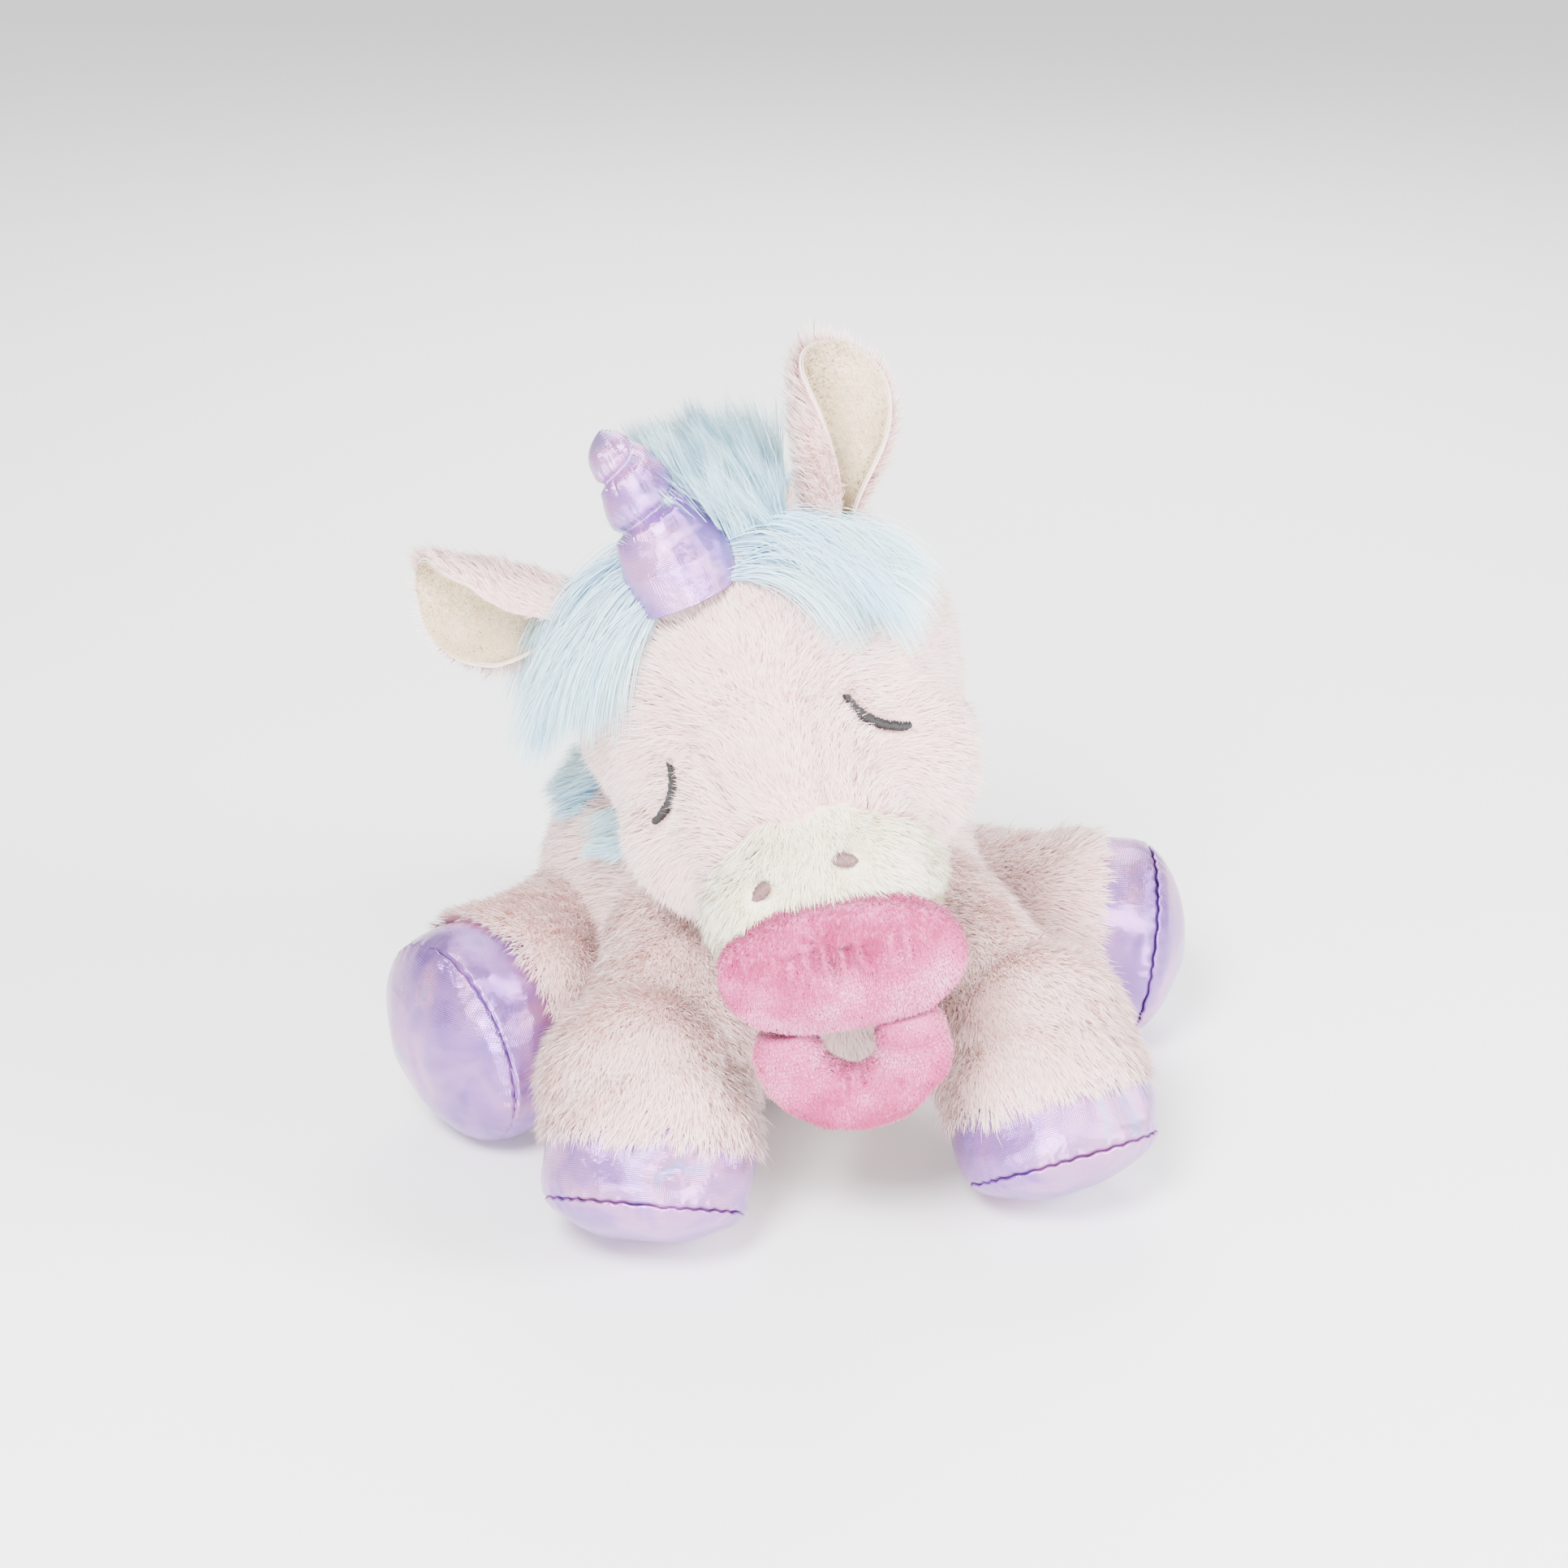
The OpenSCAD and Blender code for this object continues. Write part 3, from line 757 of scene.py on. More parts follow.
def eye_gap(p):
    """Distance from the eyes' lines, drawn in to the backing."""
    h = to_head(p)
    d = np.full(len(h), 99.0)
    for side in (-1, 1):
        for k in np.linspace(0, 1, 11):
            d = np.minimum(d, distance(h, eye_point(side, k) * (1 - (CUT + 1.5) / 71)))
    return d


def covered_by_shield(p):
    q = to_shield(p)
    r = np.sqrt((q[:, 0] / (SHIELD_W / 2)) ** 2 + (q[:, 2] / (SHIELD_H / 2)) ** 2)
    return smooth(1.05, 0.8, r) * (q[:, 1] < 22)


def nostril_centre(s):
    """Centre and axes (across, up, out) of a nostril's satin stitching, in the frame of the whole toy."""
    r = HEAD_R @ rot(-17, 0, s * 24)
    out = r @ np.array([0, -1.0, 0])
    return head(MUZZLE_C) + out * (MUZZLE_R + 0.2), r @ np.array([1.0, 0, 0]), r @ np.array([0, 0, 1.0]), out


def nostril_gap(p):
    return np.minimum(*(distance(p, nostril_centre(s)[0]) for s in (-1, 1)))


def hair_line(h):
    """Positive where the mane, and not the pink pile, grows; h in the head's frame."""
    return h[:, 2] - (50 - 0.012 * h[:, 0] ** 2 + 2.5 * np.sin(h[:, 0] / 6))


def head_len(p):
    ln = 6.8 * (0.14 + 0.86 * smooth(2.0, 8.5, eye_gap(p)))
    ln = ln * (1 - 0.75 * covered_by_shield(p))
    return ln * (1 - 0.35 * smooth(46, 60, to_head(p)[:, 2]))


def head_keep(p, n):
    h = to_head(p)
    w = np.where((h[:, 1] > 20) & (h[:, 2] < -20), 0.35, 1.0)
    w = w * np.where(covered_by_shield(p) > 0.6, 0.25, 1)
    return w * np.where(distance(p, NECK_C) < 30, 0.0, 1)


def torso_keep(p, n):
    w = np.ones(len(p))
    for leg in LEGS.values():
        w *= np.where(distance(p, leg.root) < leg.root_r - 4, 0.0, 1)
    w *= np.where(distance(p, NECK_C) < 30, 0.15, 1)
    w *= np.where((p[:, 2] < 8) & (n[:, 2] < -0.5), 0.3, 1)
    w *= np.where(distance(p, HEAD_C) < 63, 0.1, 1)
    return w


def torso_len(p):
    """Pressed short against the ground."""
    return 2.0 + (7.4 - 2.0) * smooth(1.0, 11, p[:, 2])


def torso_comb(p, n):
    return unit(unit(p - np.array([0, -70, 85])) + 0.55 * DOWN)


def neck_comb(p, n):
    return unit(unit(p - HEAD_C) + 0.4 * DOWN)


def muzzle_comb(p, n):
    return xyz((to_head(p) - MUZZLE_C)[:, 0] * 0.02, -0.5, -0.8) @ HEAD_R.T


def muzzle_len(p):
    ln = 6.6 * (1 - 0.8 * covered_by_shield(p))
    return ln * (0.16 + 0.84 * smooth(5.6, 10.5, nostril_gap(p)))


pile = {
    "torso": grow("torso_pile", torso, "fur", 2.4, torso_len, 11, torso_comb, keep=torso_keep, clump=1.3),
    "neck": grow("neck_pile", neck, "fur", 0.9, lambda p: 6 + 0 * p[:, 0], 12, neck_comb),
    "head": grow("head_pile", head_skin, "fur", 3.4, head_len, 13, head_comb, keep=head_keep, clump=1.2),
    "muzzle": grow("muzzle_pile", muzzle_skin, "muzzle", 4.2, muzzle_len, 14, muzzle_comb, lean=0.8, width=0.27),
}


def leg_keep(p, n):
    inside = np.linalg.norm((p - TORSO_C) / np.array([72, 68, 66]), axis=1) < 1
    return np.where(inside, 0.0, 1.0) * np.where((p[:, 2] < 5) & (n[:, 2] < -0.5), 0.4, 1)


for i, (k, leg) in enumerate(LEGS.items()):
    def leg_len(p, leg=leg):
        near = smooth(FUR_L - 9, FUR_L + 1, (p - leg.ankle) @ leg.sole)
        return (1.8 + 5.4 * smooth(1.0, 11, p[:, 2])) * (1 + 0.05 * near)
    leg_comb = comb_towards(unit(leg.ankle - leg.root) + 0.25 * DOWN)
    pile[k] = grow(f"{k}_leg_pile", leg_skins[k], "fur", 2.9, leg_len, 20 + i, leg_comb, keep=leg_keep, lean=1.05,
                   clump=1.2)


# ---------------------------------------------------------------- sewn threads
def stitches(name, bars, radius, thin, key):
    """Small closed threads, thinner at their ends. Each bar is its points and the directions out of the cloth."""
    verts, faces = [], []
    around = 6
    ang = 2 * PI * np.arange(around)[:, None] / around
    for c, out in bars:
        d = unit(np.gradient(c, axis=0))
        s1 = unit(np.cross(d, out))
        s2 = np.cross(s1, d)
        rings, base = len(c), len(verts)
        r = radius * (thin + (1 - thin) * np.sin(PI * np.arange(rings) / (rings - 1)))[:, None, None]
        verts += list((c[:, None] + r * (np.cos(ang) * s1[:, None] + np.sin(ang) * s2[:, None])).reshape(-1, 3))
        faces += grid_faces(rings, around, True, base)
        faces.append(tuple(base + k for k in range(around))[::-1])
        faces.append(tuple(base + (rings - 1) * around + k for k in range(around)))
    return paint(mesh_object(name, verts, faces), key)


def seam_stitches(name, pts, out, length=2.3, gap=0.9, radius=0.2, lift=0.1, rings=5):
    """Small raised stitches along a closed line of points."""
    s = np.concatenate([[0], np.cumsum(np.linalg.norm(np.roll(pts, -1, 0) - pts, axis=1))])
    count = int(s[-1] / (length + gap))
    step = s[-1] / count

    def along(rows, x):
        loop = np.vstack([rows, rows[:1]])
        return np.stack([np.interp(np.mod(x, s[-1]), s, loop[:, k]) for k in range(3)], -1)

    bars = []
    for i in range(count):
        u = np.linspace(i * step, i * step + length, rings)
        up = unit(along(out, u))
        bars.append((along(pts, u) + up * (lift + radius * 0.9 * np.sin(np.linspace(0, PI, rings)))[:, None], up))
    return stitches(name, bars, radius, 0.55, "seam")


def satin(name, starts, ends, out, key, radius):
    """Satin stitching: threads side by side that rise a little over their middles."""
    k = np.linspace(0, 1, 7)[:, None]
    bars = [(a * (1 - k) + b * k + o * np.sin(PI * k), o) for a, b, o in zip(starts, ends, out)]
    return stitches(name, bars, radius, 0.5, key)


# ---------------------------------------------------------------- hooves
def weave_uv(o, u, v):
    """A map in mm for the weave, one value a vertex."""
    layer = o.data.uv_layers.new(name="weave")
    idx = np.empty(len(o.data.loops), int)
    o.data.loops.foreach_get("vertex_index", idx)
    uv = np.stack(np.broadcast_arrays(u, v), -1).reshape(-1, 2)
    layer.data.foreach_set("uv", uv[idx].astype(np.float32).ravel())


def hoof(name, leg):
    """A band of shiny cloth drawn in under the fur, a bulging sole, and the seam between them."""
    turn = aim(leg.sole)
    r0 = leg.ankle_r + 1.0
    rim = FUR_L + BAND_L
    th = np.linspace(0, 2 * PI, 288, endpoint=False)
    pull = noise3(xyz(np.cos(th) * 9, np.sin(th) * 9, len(name)), 3.2)

    def place(r, s):
        """Radius and distance along the leg to points; the ground flattens what reaches it."""
        p = xyz(r * np.cos(th), r * np.sin(th), s) @ turn.T + leg.ankle
        z = p[..., 2]
        p[..., 2] = np.where(z < 5.5, 0.9 + 4.6 * np.exp((z - 5.5) / 4.6), z)
        return p

    # band: from under the fur's edge to the seam
    sv = np.linspace(-6, BAND_L, 56)[:, None]
    t = (sv - sv[0]) / (sv[-1] - sv[0])
    body = r0 - 1.8 + 2.6 * np.sin(PI * np.clip((t - 0.08) / 0.92, 0, 1)) ** 0.7
    body = body - 1.6 * smooth(0.93, 1.0, t)
    folds = 2.0 * pull * (bell(t - 0.22, 0.24) + 0.55 * bell(t - 0.98, 0.09))
    wrinkle = 0.45 * np.sin(th * 34 + 5 * pull) * bell(t - 1.0, 0.10)
    low = 0.7 * noise3(xyz(np.cos(th) * 20, np.sin(th) * 20, sv), 9, 2)
    band = grid_surface(name + "_hoof_band_cloth", place(body + folds + wrinkle + low, FUR_L + sv), closed_u=True)
    weave_uv(band, th * r0, sv)
    # sole: from the seam over the bulge to the middle
    q = np.linspace(1, 0.0, 44)[:, None] ** 0.9
    rs = (r0 - 1.1) * q
    rise = leg.bulge * (1 - q**2.4) + 1.3 * smooth(1.0, 0.9, q)
    fold = 0.5 * pull * bell(q - 0.93, 0.08)
    pucker = 0.3 * np.sin(th * 34 + 5 * pull) * bell(q - 0.98, 0.06)
    soft = 0.8 * noise3(xyz(rs * np.cos(th), rs * np.sin(th), 3 * len(name)), 13, 1)
    bulging = place(rs, rim + rise + fold + pucker + soft * (1 - q**6))
    sole = grid_surface(name + "_hoof_sole_cloth", bulging, closed_u=True)
    weave_uv(sole, rs * np.cos(th), rs * np.sin(th))
    for o in (band, sole):
        thicken(paint(o, "foil"), COATED_CLOTH)
    # the seam's stitches lie in the groove
    groove = place(body[-1:] + 0.15, rim + 0.1)[0]
    seam = seam_stitches(name + "_hoof_seam", groove, unit(groove - (leg.ankle + leg.sole * rim)))
    for o, node in ((band, "_hoof_band"), (sole, "_hoof_sole")):
        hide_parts(name + node)
        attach(o, name)
    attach(seam, name)


for k, leg in LEGS.items():
    hoof(k, leg)


# ---------------------------------------------------------------- horn
def horn_radius(t, u):
    """The cone's radius at height share t and angle u: bulges between the turns of a drawn thread."""
    base = HORN_R * (1.04 - 0.6 * np.clip(t, 0, 1))
    turn = (SWIRLS * t - (u + PI / 2) / (2 * PI) - 0.05) % 1.0
    d = np.minimum(turn, 1 - turn)
    on = smooth(0.12, 0.3, t)
    q = xyz(np.cos(u) * 9, np.sin(u) * 9, t * 6)
    pinch = noise3(q, 1.5) + 0.8 * noise3(q, 0.8, 1)
    swell = 0.88 + 0.15 * np.sin(PI * turn) ** 0.8 * on + 0.13 * (1 - on) - 0.17 * bell(d, 0.085) * on
    return base * swell + (1.0 * pinch * bell(d, 0.24) * on + 0.5 * noise3(q, 4.0, 2)) * (1.05 - 0.5 * t)


def horn_round(t):
    """Rounds the tip."""
    return np.sqrt(np.clip(1 - smooth(0.80, 1.0, t) ** 2.2, 0, 1))


def horn_point(r, t, u, sink=0.0):
    """Radius, height share and angle to points; the tip leans over."""
    z = HORN_H * t + 4.0 * smooth(0.8, 1.0, t) + 1.0
    return head(HORN_C + xyz(r * np.cos(u) - 5.0 * np.clip(t, 0, 1) ** 1.6, r * np.sin(u), z - sink))


U = np.linspace(0, 2 * PI, 260, endpoint=False)[None, :]
T = np.linspace(-0.3, 1.0, 178)[:, None]
R = horn_radius(T, U) * horn_round(T) + 0.02
horn = grid_surface("horn_cloth", horn_point(R, T, U), closed_u=True)
weave_uv(horn, U * 13, HORN_H * T + 4.0 * smooth(0.8, 1.0, T) + 1.0)
thicken(paint(horn, "foil"), CLOTH)
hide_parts("horn_cover")
fill = horn_point(np.maximum(R - 1.4, 0.02), T, U, 1.2 * smooth(0.7, 1, T))
horn_fill = paint(grid_surface("horn_fibre", fill[::6, ::6], closed_u=True), "stuffing")
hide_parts("horn_stuffing")


def tube(name, pts, radius, key, around=8):
    d = unit(np.gradient(pts, axis=0))
    a = unit(np.cross(d, np.array([0.31, 0.17, 0.93])))
    b = np.cross(d, a)
    th = np.linspace(0, 2 * PI, around, endpoint=False)[None, :, None]
    ring = pts[:, None] + radius * (np.cos(th) * a[:, None] + np.sin(th) * b[:, None])
    return paint(grid_surface(name, ring, closed_u=True), key)


rise = np.linspace(0.22, 0.86, 260)
wound = 2 * PI * (SWIRLS * rise - 0.05) - PI / 2
on_cloth = horn_radius(rise, wound % (2 * PI)) * horn_round(rise) + 0.1
horn_wind = tube("horn_winding", horn_point(on_cloth, rise, wound), 0.35, "lilac")
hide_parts("horn_thread")


# ---------------------------------------------------------------- ears
def ear(side, centre, lean_deg, open_turn, wide):
    """A leaf of two cloths cupped round its length: nearly a closed cone at the root, open at the tip."""
    turn = HEAD_R @ rot(0, lean_deg, 0) @ rot(0, 0, open_turn)
    base = head(unit(centre) * (SKULL_R + 2))
    t = np.linspace(0, 0.999, 90)[:, None]
    s = np.linspace(-1, 1, 72)[None, :]
    rounded = 25 * np.sqrt(np.clip(1 - (np.maximum(t - 0.55, 0) / 0.45) ** 2, 0, 1))
    half = np.where(t < 0.55, 17 + 8 * smooth(0, 0.55, t), rounded) * wide
    wrap = np.radians(160 - 60 * smooth(0.0, 0.8, t) - 14 * smooth(0.7, 1, t))
    rho = 1e-3 + np.where(t < 0.55, half / wrap, 25.0 * wide / wrap)
    ang = s * half / rho
    mirror = 1 if side == "right" else -1
    z = -5 + 62 * t

    def surface(inset):
        r = rho - inset
        p = xyz(r * np.sin(ang) * mirror, r * np.cos(ang) - rho * 0.55 - 7.0 * t**2, z)
        wave = 0.7 * noise3(p + 50.0 * mirror, 13) + 0.35 * noise3(p, 6, 1)
        return base + (p + wave[..., None] * [1, 1, 0]) @ turn.T

    outer = grid_surface(f"ear_{side}_outer_cloth", surface(0.0))
    lining = grid_surface(f"ear_{side}_lining_cloth", surface(1.5))
    middle = base + xyz(0, -rho * 0.55 - 7.0 * t**2, z) @ turn.T
    face_away(outer, middle, len(t))
    face_away(lining, middle, len(t), -1)
    tip = turn @ np.array([0, 0, 1.0])

    def along(p):
        return ((p - base) @ tip) / 57.0

    def painted_cup_shade(p):
        """Painted shade: darker down in the cup."""
        return 0.3 - 0.8 * smooth(-3, 7, ((p - base) @ turn)[:, 1] + 7.0 * along(p) ** 2)

    fur = grow(f"ear_{side}_pile", outer, "fur", 2.2, lambda p: 6.5 * smooth(-0.05, 0.12, along(p)), 40 + mirror,
               comb_towards(tip + [0, 0, 0.1]), lean=1.1, clump=1.3)
    # the lining's nap carries painted shade down in the cup
    nap = grow(f"ear_{side}_nap", lining, "lining", 3.5, lambda p: 1.15 + 0 * p[:, 0], 50 + mirror,
               comb_towards(tip), lean=0.6, clump=0.25, width=0.3, segs=3, wild=0, tone=painted_cup_shade)
    thicken(paint(outer, "skin"), CLOTH)
    thicken(paint(lining, "lining_skin"), 0.5)
    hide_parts(f"ear_{side}_outer")
    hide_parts(f"ear_{side}_lining")
    for o in [outer, lining, *fur, *nap]:
        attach(o, f"ear_{side}")


ear("left", [-44, -14, 53], -62, -30, 1.36)
ear("right", [37, -18, 46], 23, 50, 1.22)


# ---------------------------------------------------------------- pacifier
def shield_form():
    """A puffy oval pad, drawn in at one point of its face, with pleats and a crease above it."""
    th = np.linspace(0, 2 * PI, 220, endpoint=False)[None, :]
    ph = np.linspace(0.004, PI - 0.004, 150)[:, None]
    rim = np.sin(ph) ** 0.72
    x = SHIELD_W / 2 * sgn_pow(np.cos(th), 0.8) * rim
    z = SHIELD_H / 2 * sgn_pow(np.sin(th), 0.8) * rim
    fall = np.hypot(x + 3, z - 13)
    star = np.arctan2(z - 13, x + 3)
    fold = np.maximum(noise3(xyz(np.cos(star) * 6, np.sin(star) * 6, fall * 0.06), 1.5), -0.3)
    face = (np.cos(ph) > 0) * np.abs(np.cos(ph))
    y = -SHIELD_T / 2 * sgn_pow(np.cos(ph), 0.85) * (1.08 - 0.1 * rim)
    y = y + face * (2.6 * bell(fall, 10) - 3.6 * fold * bell(fall, 18) * smooth(1, 5, fall))
    p = xyz(x, y, z)
    pleat = np.cos(2 * PI * x / 6.5 + 2.5 * noise3(p, 9)) * bell(z - 7, 6.5) * bell(x - 4, 22)
    crease_z = 12.5 + 2.0 * noise3(p * [1, 0, 0], 8, 2)
    pulled = bell(z - crease_z, 2.2) * bell(x - 5, 20) * (0.65 + 0.5 * noise3(p, 4.5, 3))
    y = y + face * (1.9 * pleat + 2.8 * pulled)
    y = y + 0.7 * noise3(p, 12) * np.sign(np.cos(ph)) + 0.5 * noise3(p, 5, 1) * face
    x = x * (1 + 0.03 * noise3(p, 14, 2))
    z = z * (1 + 0.05 * noise3(p, 14, 3))
    pucker = 0.7 * bell(ph - PI / 2, 0.09) * (0.6 + 0.4 * np.sin(th * 40))
    return xyz(x * (1 - pucker / 30), y, z * (1 - pucker / 20))


pad_skin = grid_surface("shield_cloth", shield(shield_form()), closed_u=True)
face_away(pad_skin, SHIELD_C)

RING_C = np.array([-4.0, 0, -22.5 - 7 - 1.2])
RING_R, RING_HALF_W, RING_HALF_T = 20.6, 11.4, 7.6


def ring_form():
    """U-shaped handle: its middle line is a half circle whose ends run up to the shield."""
    bend = np.linspace(PI, 2 * PI, 60)
    up = np.linspace(8.0, 0.8, 8)
    line = np.vstack([
        xyz(-RING_R, 0, up), xyz(RING_R * np.cos(bend), 0, RING_R * np.sin(bend)), xyz(RING_R, 0, up[::-1])
    ])
    d = unit(np.gradient(line, axis=0))
    wide = xyz(d[:, 2], 0, -d[:, 0])
    a = np.linspace(0, 2 * PI, 56, endpoint=False)
    s = np.linspace(0, 1, len(line))[:, None]
    body = (1 - 0.25 * smooth(0.07, 0.0, s) - 0.25 * smooth(0.93, 1.0, s))[..., None]
    sec_w = (RING_HALF_W * sgn_pow(np.cos(a), 0.9))[None, :, None] * body
    sec_t = (RING_HALF_T * sgn_pow(np.sin(a), 0.9))[None, :, None] * body
    p = line[:, None] + wide[:, None] * sec_w + np.array([0, 1.0, 0]) * sec_t
    in_hole = (np.cos(a)[None, :] * np.sign((wide * (0 - line)).sum(-1))[:, None]) > 0
    crease = noise3(xyz(s * 60, np.cos(a) * 3, np.sin(a) * 3), 2.0)
    swell = 1.1 * noise3(p, 12) + 0.8 * crease * np.where(in_hole, 1.0, 0.35)
    p = p + unit(p - line[:, None]) * swell[..., None]
    ends = [q.mean(0) + (q - q.mean(0)) * 0.05 for q in (p[0], p[-1])]
    return np.concatenate([ends[0][None], p, ends[1][None]]), np.concatenate([line[:1], line, line[-1:]])


ring_p, ring_line = ring_form()
ring_skin = grid_surface("ring_cloth", shield(ring_p + RING_C), closed_u=True)
face_away(ring_skin, shield(ring_line + RING_C)[:, None], len(ring_line))


def velour_len(p):
    """Ribs across the velour."""
    return 1.35 + 0.45 * np.sin(2 * PI * to_shield(p)[:, 2] / 1.5) + 0.35 * noise3(p, 5)


def shield_painted_shading(p):
    """Painted light and shade on the velour: darker at the top, where the pad goes in under the lip, and in the
    crease, lighter towards the bottom, where its sheen catches the light. The noise is its own uneven colour.
    """
    q = to_shield(p)
    # painted shade in the crease
    dark = bell(q[:, 2] - 12.0, 4.0) * bell(q[:, 0] - 5, 26)
    return 0.5 * smooth(15, -8, q[:, 2]) - 0.46 - 0.3 * dark + 0.14 * noise3(p, 9, 3)


def ring_painted_shading(p):
    # painted light and shade on the velour: lighter up by the pad, darker towards the ring's bottom; the noise is its
    # own uneven colour
    return 0.5 * smooth(-60, -32, to_shield(p)[:, 2]) - 0.46 + 0.14 * noise3(p, 9, 3)


shield_down = SHIELD_R @ np.array([0, -0.2, -1.0])
# each velour piece's tone paints light and shade into its nap
for o, stem, body, seed, tone in (
    (pad_skin, "shield", "pacifier", 60, shield_painted_shading), (ring_skin, "ring", "ring", 61, ring_painted_shading)
):
    nap = grow(f"{stem}_nap", o, "velour", 6.5, velour_len, seed, comb_towards(shield_down), lean=0.8, clump=0.3,
               width=0.3, segs=3, wild=0.0, curl=0.05, tone=tone)
    paint(o, "velour_skin")
    core = paint(inner_copy(o, f"{stem}_fibre", 2.0, 1.6), "stuffing")
    thicken(o, COATED_CLOTH)
    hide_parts(f"{stem}_cover")
    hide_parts(f"{stem}_stuffing")
    for q in [o, core, *nap]:
        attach(q, body)


# ---------------------------------------------------------------- mane and tail
def hair(name, root, nrm, way, length, seed, segs=9, width=0.38, gravity=0.5, layer=(0.5, 8.0), centre=HEAD_C,
         radius=SKULL_R - CUT, clump=5.0, lift=0.35):
    """Long pile laid over a ball: it starts in direction way and sinks under its weight, never into the ball."""
    rng = np.random.default_rng(seed)
    n = len(root)
    tuft = noise_vec(root, clump)
    high = layer[0] + (layer[1] - layer[0]) * rng.random(n) ** 1.3
    d = unit(nrm * lift + way + 0.28 * tuft + rng.normal(0, 0.07, (n, 3)))
    pts = [root.copy()]
    step = length / (segs - 1)
    for k in range(1, segs):
        t = k / (segs - 1)
        d = unit(d + gravity * DOWN * t * 0.55 + 0.05 * tuft)
        q = pts[-1] + d * step[:, None] - centre
        r = np.linalg.norm(q, axis=1)
        q = centre + q * np.maximum((radius + high * min(1.0, t * 3)) / r, 1.0)[:, None]
        d = unit(q - pts[-1])
        pts.append(q)
    path = np.stack(pts, 1)
    t = np.linspace(0, 1, segs)[None, :, None]
    path = path + t**1.5 * (2.2 * noise_vec(root + 23, 3.2))[:, None]
    path[..., 2] = np.maximum(path[..., 2], 0.5)
    shade = np.clip(0.5 + 0.4 * noise3(root, 11, 2) + rng.normal(0, 0.13, n), 0.02, 0.98)
    shading = unit(unit(root - centre) * 0.8 + 0.2 * nrm)
    return strands(name, "mane", path, rng.uniform(0.7, 1.25, n) * width, shade, shading, rng.normal(0, 0.5, n))


def pick(o, density, seed, inside):
    rng = np.random.default_rng(seed)
    return scatter(o, density * QUICK, rng, lambda p, n: inside(p).astype(float) + 1e-9)


def in_head(way, n):
    """A direction given in the head's frame, for n hairs."""
    return np.tile(np.array(way) @ HEAD_R.T, (n, 1))


def lock_left(p):
    h = to_head(p)
    return (hair_line(h) > 0) & (h[:, 0] < 2) & (h[:, 0] > -40) & (h[:, 1] < -6) & (h[:, 2] > 0)


def lock_right(p):
    h = to_head(p)
    return (hair_line(h) > -3) & (h[:, 0] >= -2) & (h[:, 0] < 34) & (h[:, 1] < -22) & (h[:, 2] > 0)


def crest(p):
    h = to_head(p)
    return (np.abs(h[:, 0] - 10) < 19) & (h[:, 1] > -30) & (h[:, 1] < 20) & (h[:, 2] > 30)


def poll(p):
    h = to_head(p)
    return (np.abs(h[:, 0] - 6) < 20) & (h[:, 1] > 10) & (h[:, 2] > -14)


def neck_patch(p):
    """The mane behind the neck, and its end that shows beside the jaw."""
    q = p - TORSO_C
    ang = np.degrees(np.arctan2(q[:, 2], q[:, 0]))
    behind = (ang > 78) & (ang < 148) & (p[:, 1] > 0) & (p[:, 1] < 40) & (p[:, 2] > 60)
    return (np.linalg.norm((p - np.array([-56, -26, 104])) / [12, 14, 12], axis=1) < 1) | behind


rng = np.random.default_rng(70)
root, nrm = pick(head_skin, 6.0, 71, lock_left)
h = to_head(root)
way = np.array([-1.0, -0.25, 0.0]) + xyz(0, -0.5 * smooth(-50, -30, h[:, 1]), -0.2) * 0.5
ln = 36 + 0.45 * (h[:, 0] + 40) + 18 * rng.random(len(h))
left = hair("forelock_left", root, nrm, way @ HEAD_R.T, ln, 72, gravity=1.0)

root, nrm = pick(head_skin, 6.0, 73, lock_right)
h = to_head(root)
ln = 34 + 0.6 * (34 - h[:, 0]) + 15 * rng.random(len(h))
way = in_head([1.0, -0.15, -0.25], len(h))
right = hair("forelock_right", root, nrm, way, ln, 74, gravity=0.7, layer=(0.5, 4.5))

root, nrm = pick(head_skin, 5.5, 75, crest)
ln = 26 + 15 * rng.random(len(root))
way = in_head([-0.35, -0.5, 1.1], len(root))
top = hair("poll_crest", root, nrm, way, ln, 76, gravity=0.05, lift=1.2, segs=7, width=0.34)

root, nrm = pick(head_skin, 4.5, 77, poll)
ln = 22 + 14 * rng.random(len(root))
way = in_head([-0.25, 0.7, -0.8], len(root))
back = hair("poll_mane_hair", root, nrm, way, ln, 78, gravity=0.4, lift=0.9, segs=7)

mane_base = split_by(head_skin, "mane_base", lambda p: lock_left(p) | lock_right(p) | crest(p) | poll(p))
poll_base = split_by(mane_base, "poll_base", lambda p: poll(p) | crest(p))

root, nrm = pick(torso, 4.5, 79, neck_patch)
ln = 12 + 7 * rng.random(len(root))
neck_hair = hair("neck_mane_hair", root, nrm, np.tile([-0.8, 0.1, -0.2], (len(root), 1)), ln, 80, gravity=0.4,
                 centre=np.array([0.0, 4, 57]), radius=66.0, layer=(0.5, 6), segs=7, lift=0.8)
neck_base = split_by(torso, "neck_mane_base", neck_patch)
for o in (mane_base, poll_base, neck_base):
    paint(o, "mane_skin")

# tail: a soft root and long hair hanging down the back
tail_ball = paint(balls_and_cones("tail_cushion", [(TAIL_C, 8.6)]), "skin")
root, nrm = pick(tail_ball, 9.0, 81, lambda p: (p - TAIL_C) @ TAIL_DIR > -4)
ln = 36 + 20 * rng.random(len(root))
tail = hair("tail_hair_strands", root, nrm, np.tile(TAIL_DIR, (len(root), 1)) + 0.25 * nrm, ln, 82, gravity=0.9,
            centre=TORSO_C, radius=71.0, layer=(0.5, 11), lift=0.15, clump=7.0, segs=10)


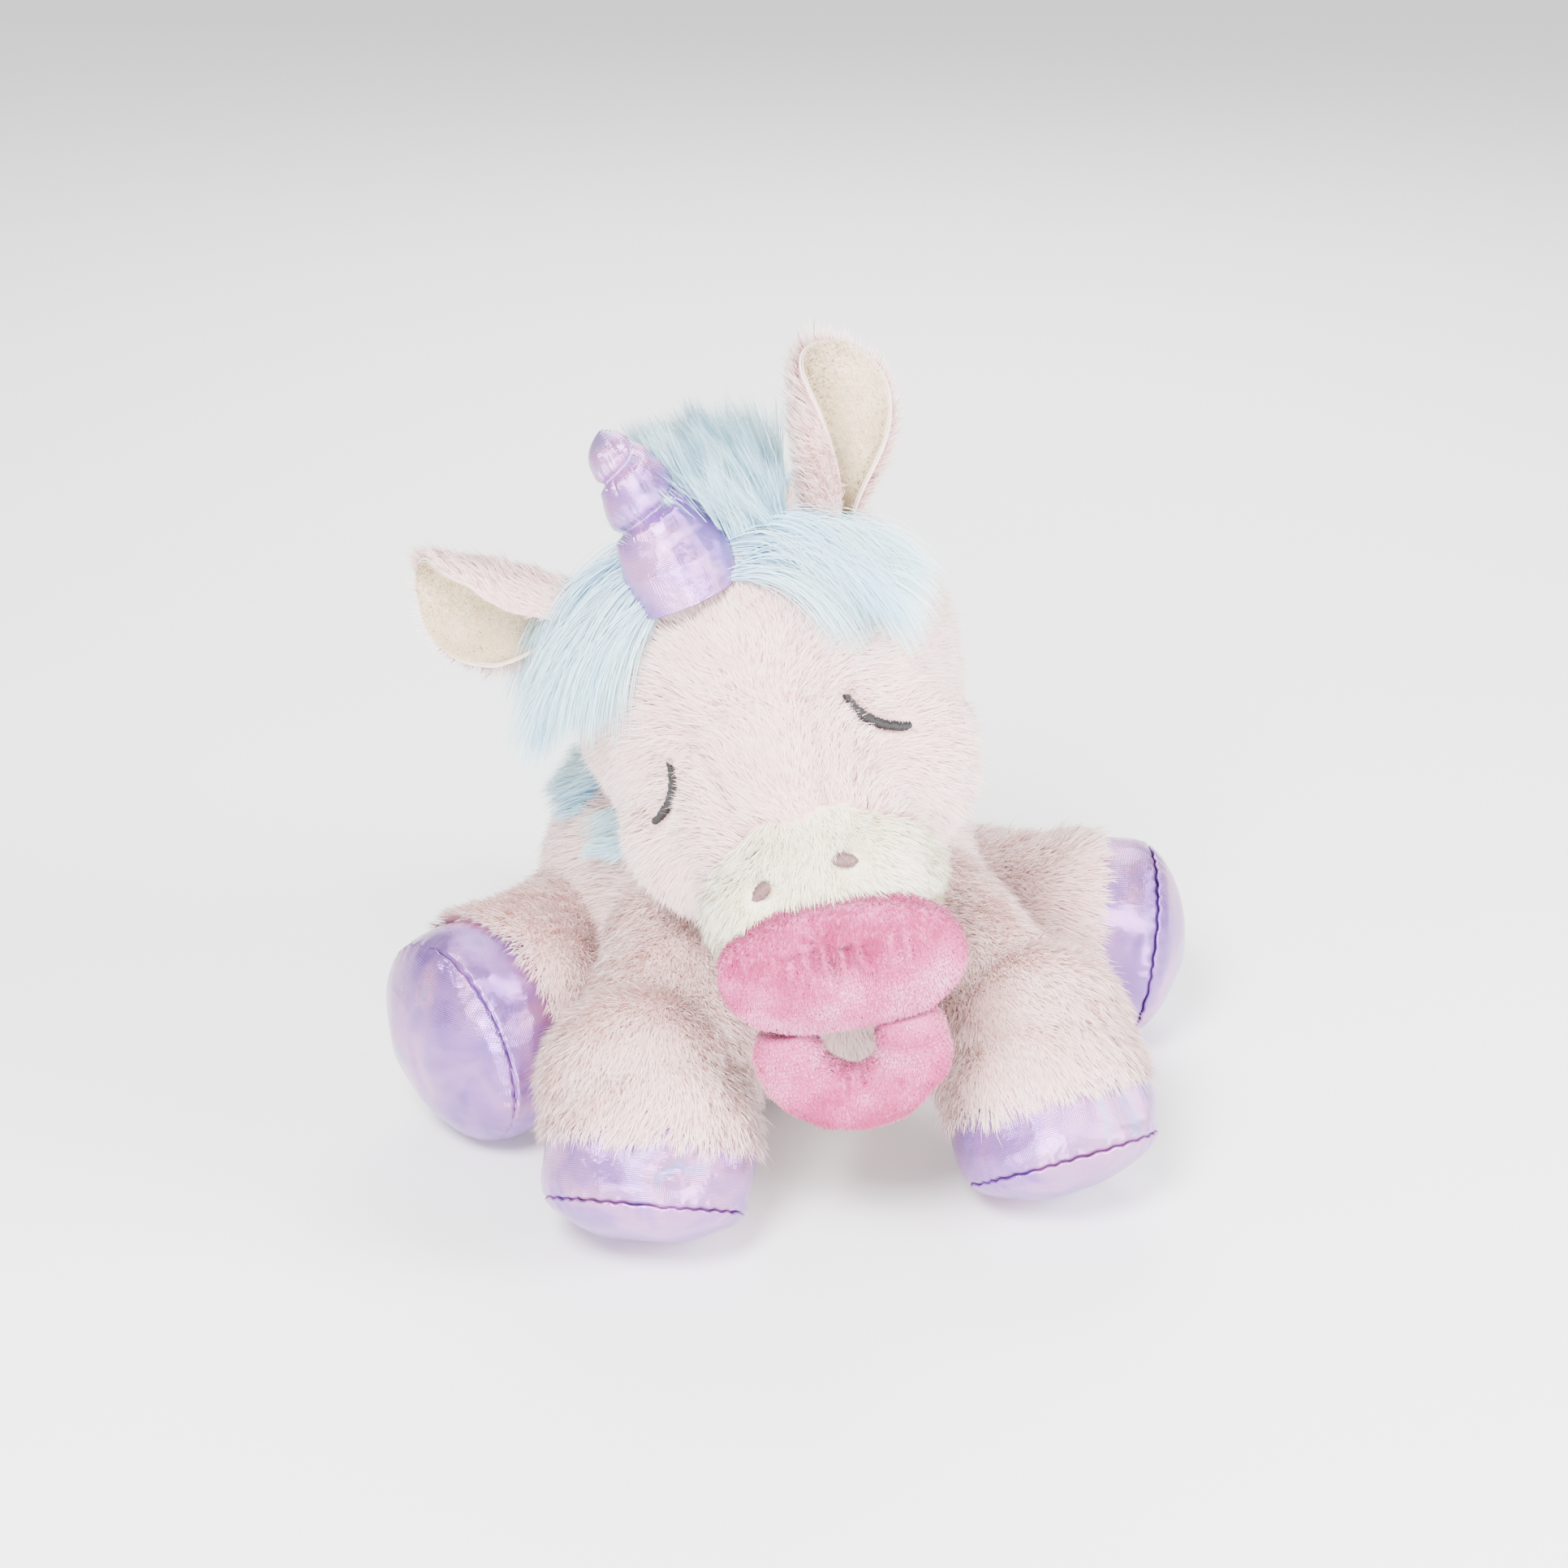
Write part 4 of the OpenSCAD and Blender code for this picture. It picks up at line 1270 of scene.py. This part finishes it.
# ---------------------------------------------------------------- stitched eyes and nostrils
def skin_point(o, p, towards):
    """The point of a skin met from p along a direction, mm."""
    hit, loc, *_ = o.ray_cast(Vector(np.asarray(p) * MM), Vector(unit(towards)), distance=40 * MM)
    return np.array(loc) / MM if hit else np.asarray(p, float)


rng = np.random.default_rng(90)
threads = []
for side, label in ((-1, "left"), (1, "right")):
    starts, ends, outs = [], [], []
    for k in np.linspace(0, 1, 74):
        e = head(eye_point(side, k))
        out = unit(e - HEAD_C)
        along = unit(head(eye_point(side, min(k + 0.01, 1.02))) - e + 1e-9)
        slanted = unit(np.cross(out, along)) + 0.5 * along
        half = 1.1 + 0.4 * math.sin(PI * k)
        c = skin_point(head_skin, e + out * 8, HEAD_C - e) + out * 3.3
        j = rng.uniform(-0.3, 0.3, 2)
        starts.append(c - slanted * (half + j[0]))
        ends.append(c + slanted * (half + j[1]))
        outs.append(out)
    threads.append(satin(f"eye_thread_{label}", starts, ends, outs, "dark", 0.42))
    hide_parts(f"eye_stitching_{label}")
starts, ends, outs = [], [], []
for s in (-1, 1):
    c, across, up, out = nostril_centre(s)
    c = skin_point(muzzle_skin, c + out * 8, -out) + out * 2.4
    cs, sn = math.cos(math.radians(-30 * s)), math.sin(math.radians(-30 * s))
    across, up = across * cs + up * sn, up * cs - across * sn
    for k in np.linspace(-1, 1, 26):
        half = 3.9 * math.sqrt(max(1 - k * k, 0.05)) * 0.62
        m = c + across * (k * 4.1)
        j = rng.uniform(-0.25, 0.25, 2)
        starts.append(m - up * (half + j[0]))
        ends.append(m + up * (half + j[1]))
        outs.append(out)
threads.append(satin("nostril_thread", starts, ends, outs, "brown", 0.27))
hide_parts("nostril_stitching")


def belongs(objs, body, node=None):
    """All pieces ride on the body; the node, where given, is hidden."""
    if node:
        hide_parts(node)
    for o in objs:
        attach(o, body)


def filling(o, node, key="stuffing"):
    paint(o, key)
    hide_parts(node)
    return o


head_fill = head_form("head_fibre", -CUT - 3)
fuse(head_fill, 3.2, 16)
push(head_fill, lambda p, n: behind_shield(p, 4.0))
filling(head_fill, "head_stuffing")
chest = [([0, -18, 58], [66, 56, 55]), ([-16, -44, 82], 28), ([16, -44, 82], 28)]
torso_fill = balls_and_cones("torso_fibre", [(TORSO_C, [72, 66, 63]), *chest])
fuse(torso_fill, 3.2, 22)
flatten(torso_fill, 5.0, 8.0)
filling(torso_fill, "torso_stuffing")
pellets = balls_and_cones("pellet_sack", [([0, 5, 36.0], [31, 31, 28])])
fuse(pellets, 2.4, 2)
lumpy(pellets, 1.2, 0.8, 3.0)
filling(pellets, "pellet_bag", "pellet")

belongs([torso, *pile["torso"]], "torso", "torso_cover")
belongs([neck_base, *neck_hair], "torso", "neck_mane")
belongs([torso_fill, pellets], "torso")
belongs([neck, *pile["neck"]], "neck", "neck_wad")
belongs([head_skin, *pile["head"]], "head", "head_cover")
belongs([muzzle_skin, *pile["muzzle"]], "head", "muzzle_panel")
belongs([mane_base, *left, *right], "head", "forelock")
belongs([poll_base, *top, *back], "head", "poll_mane")
belongs([head_fill, *threads], "head")
belongs([horn, horn_fill, horn_wind], "horn")
belongs([tail_ball], "tail", "tail_root")
belongs([*tail], "tail", "tail_hair")
for k, leg in LEGS.items():
    toe = (leg.ankle + leg.sole * 10, [leg.ankle_r - 5, leg.ankle_r - 5, 19], aim(leg.sole))
    core = balls_and_cones(
        f"{k}_leg_fibre",
        [(leg.root, leg.root_r - 8), (leg.ankle, leg.ankle_r - 7.5), toe],
        [(leg.root, leg.ankle, leg.root_r - 9, leg.ankle_r - 9)],
    )
    fuse(core, 3.0, 10)
    flatten(core, 4.0, 6.0)
    filling(core, f"{k}_leg_stuffing")
    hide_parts(f"{k}_leg_cover")
    thicken(leg_skins[k], CLOTH)
    for o in [core, leg_skins[k], *pile[k]]:
        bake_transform(o)

for node in ("mouth_pocket", "pacifier_teat"):
    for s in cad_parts[node].material_slots:
        s.material = MAT["velour_skin"]
